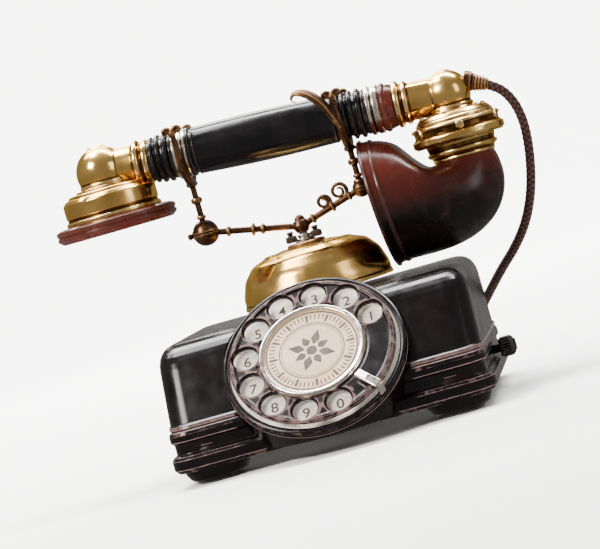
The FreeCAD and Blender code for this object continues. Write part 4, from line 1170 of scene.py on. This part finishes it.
def through(stations, share):
    """The value at a share of the way through stations, each (share, values), on one cubic."""
    result = [0.0] * len(stations[0][1])
    for i, (at, numbers) in enumerate(stations):
        weight = 1.0
        for j, (other, _) in enumerate(stations):
            if i != j:
                weight *= (share - other) / (at - other)
        result = [r + weight * n for r, n in zip(result, numbers)]
    return result


def horn():
    """The mouthpiece: a bell that leans over from its level mouth to its upright throat."""
    socket = SENDER.point(0, 0, SENDER.span("horn_socket")[0])
    gaps = [0.0]
    for a, b in zip(HORN_STATIONS, HORN_STATIONS[1:]):
        gaps.append(gaps[-1] + math.hypot(b[0] - a[0], b[1] - a[1]) + 3.0)
    stations = [(gap / gaps[-1], numbers) for gap, numbers in zip(gaps, HORN_STATIONS)]
    sides, levels = 128, 44
    corners, rings = [], []

    def section(share):
        """The middle, direction and radius of the horn at a share of its length from the mouth."""
        dx, dz, lean, radius = through(stations, share)
        along = Vector((math.cos(math.radians(lean)), 0, math.sin(math.radians(lean))))
        return Vector((socket.x + dx, socket.y, socket.z + dz)), along, radius

    def add_ring(share, shrink, forward=0.0):
        middle, along, radius = section(share)
        across = Vector((-along.z, 0, along.x))
        middle = middle - along * forward
        rings.append(list(range(len(corners), len(corners) + sides)))
        for k in range(sides):
            angle = 2 * math.pi * k / sides
            corners.append(middle + (radius - shrink) * (Y * math.cos(angle) + across * math.sin(angle)))

    for k in range(levels + 1):
        add_ring(1 - k / levels, 0.0)
    lip = ((-0.9, -0.3), (-0.9, 0.5), (-0.5, 1.2), (0.4, 1.5), (1.4, 1.5), (2.4, 1.1), (3.0, 0.4),
        (3.2, -0.4))
    for shrink, forward in lip:
        add_ring(0.0, shrink, forward)
    for k in range(levels + 1):
        share = k / levels
        add_ring(share, HORN_WALL * (1 + share * 1.6))
    rings.append(rings[0])
    middle, along, radius = section(0.10)
    bead = lathe(Axis(middle, along, Y), [(radius - 1.2, -1.1), (radius + 0.5, -0.9),
        (radius + 0.7, 0, 0.5), (radius + 0.5, 0.9), (radius - 1.2, 1.1)], 0.4, sides=128)
    piece("moulded_horn", "handset", "brown_ebonite", (corners, bridge(rings)), bead,
        stands_for=["mouthpiece_horn"], reach=0.9)


def gland():
    start, following = Vector(CORD_ROUTE[0]), Vector(CORD_ROUTE[1])
    axis = Axis(start, following - start, Y)
    outline = [(0, -6), (5.0, -6), (5.0, -2.4), (4.4, -2.0)]
    for k in range(5):
        radius, at = 4.3 - 0.25 * k, -1.6 + 1.5 * k
        outline += [(radius, at), (radius, at + 0.8), (radius - 0.6, at + 1.0), (radius - 0.6, at + 1.3)]
    outline += [(2.5, 6.2), (0, 6.2)]
    return piece("cord_gland_turned", "handset", "dark_bronze", lathe(axis, outline, 0.25, sides=48),
        stands_for=["cord_gland"])


# ---------------------------------------------------------------- studio

def area_light(name, place, target, size, power, colour=(1, 1, 1)):
    data = bpy.data.lights.new(name, "AREA")
    data.shape = "RECTANGLE"
    data.size, data.size_y = size
    data.energy = power
    data.color = colour
    light = put(name, data)
    light.location = place
    light.rotation_mode = "QUATERNION"
    light.rotation_quaternion = (Vector(target) - Vector(place)).to_track_quat("-Z", "Y")


def studio():
    """A pale sweep behind and under the telephone, a soft key, three weaker lights and one on the sweep."""
    reach, bend, side = 1.6, 0.7, 9.0
    line = [(-2.6, 0.0)] + [(reach + bend * math.sin(a),
        bend - bend * math.cos(a)) for a in (math.radians(9 * k) for k in range(11))] + [(reach + bend,
        3.0)]
    corners, faces = [], []
    for x in (-side, side):
        corners += [Vector((x, y, z)) / MM for y, z in line]
    count = len(line)
    for k in range(count - 1):
        faces.append([k, k + 1, count + k + 1, count + k])
    mesh = mesh_of("floor", (corners, faces))
    mesh.shade_smooth()
    paint = Paint("floor_finish", Roughness=0.7, Specular_IOR_Level=0.2)
    paint.link(paint.mix(paint.spread(paint.noise(3.0), 0.3, 0.7), rgb(0.95, 0.945, 0.935),
        rgb(0.92, 0.915, 0.90)), "Base Color")
    mesh.materials.append(paint.material)
    floor = put("floor", mesh)
    floor.visible_glossy = False
    world = bpy.data.worlds.new("studio")
    world.use_nodes = True
    background = world.node_tree.nodes["Background"]
    background.inputs["Color"].default_value = (1.0, 0.98, 0.95, 1)
    background.inputs["Strength"].default_value = 0.3
    bpy.context.scene.world = world
    middle = (0, 0, 0.09)
    area_light("key", (-0.85, -0.9, 1.05), middle, (0.5, 0.5), 40, (1.0, 0.96, 0.9))
    area_light("fill", (1.2, -0.7, 0.5), middle, (0.4, 0.8), 4, (0.93, 0.95, 1.0))
    area_light("back", (-0.3, 1.2, 1.1), middle, (0.8, 0.5), 22, (1.0, 0.95, 0.88))
    area_light("top", (-0.35, 0.1, 1.3), middle, (0.5, 0.4), 18)
    area_light("wall", (0.0, 0.8, 2.2), (0, 2.2, 0.5), (3.0, 0.8), 420)


# ---------------------------------------------------------------- everything

dial_joint = next(j for j in frame["joints"] if j["name"] == "dial_turn")
DIAL = Axis(Vector(dial_joint["pos_m"]) / MM, dial_joint["axis"])
HANDLE = Axis(centre("handle"), centre("right_ferrule") - centre("left_ferrule"), Y)
RECEIVER = Axis((centre("receiver_cup").x, centre("receiver_cup").y, 0))
SENDER = Axis((centre("sender_flange").x, centre("sender_flange").y, 0))
materials = make_materials()

aim_camera()
cord(gland())
case_and_plinth()
feet()
rear_fittings()
side_knob()
dial()
gong()
cradle()
handle()
receiver()
sender()
horn()
studio()

for row in frame["record"]["subparts"]:
    node = nodes[row["node"]]
    node.data.materials.clear()
    node.data.materials.append(materials[row["material_slot"]])
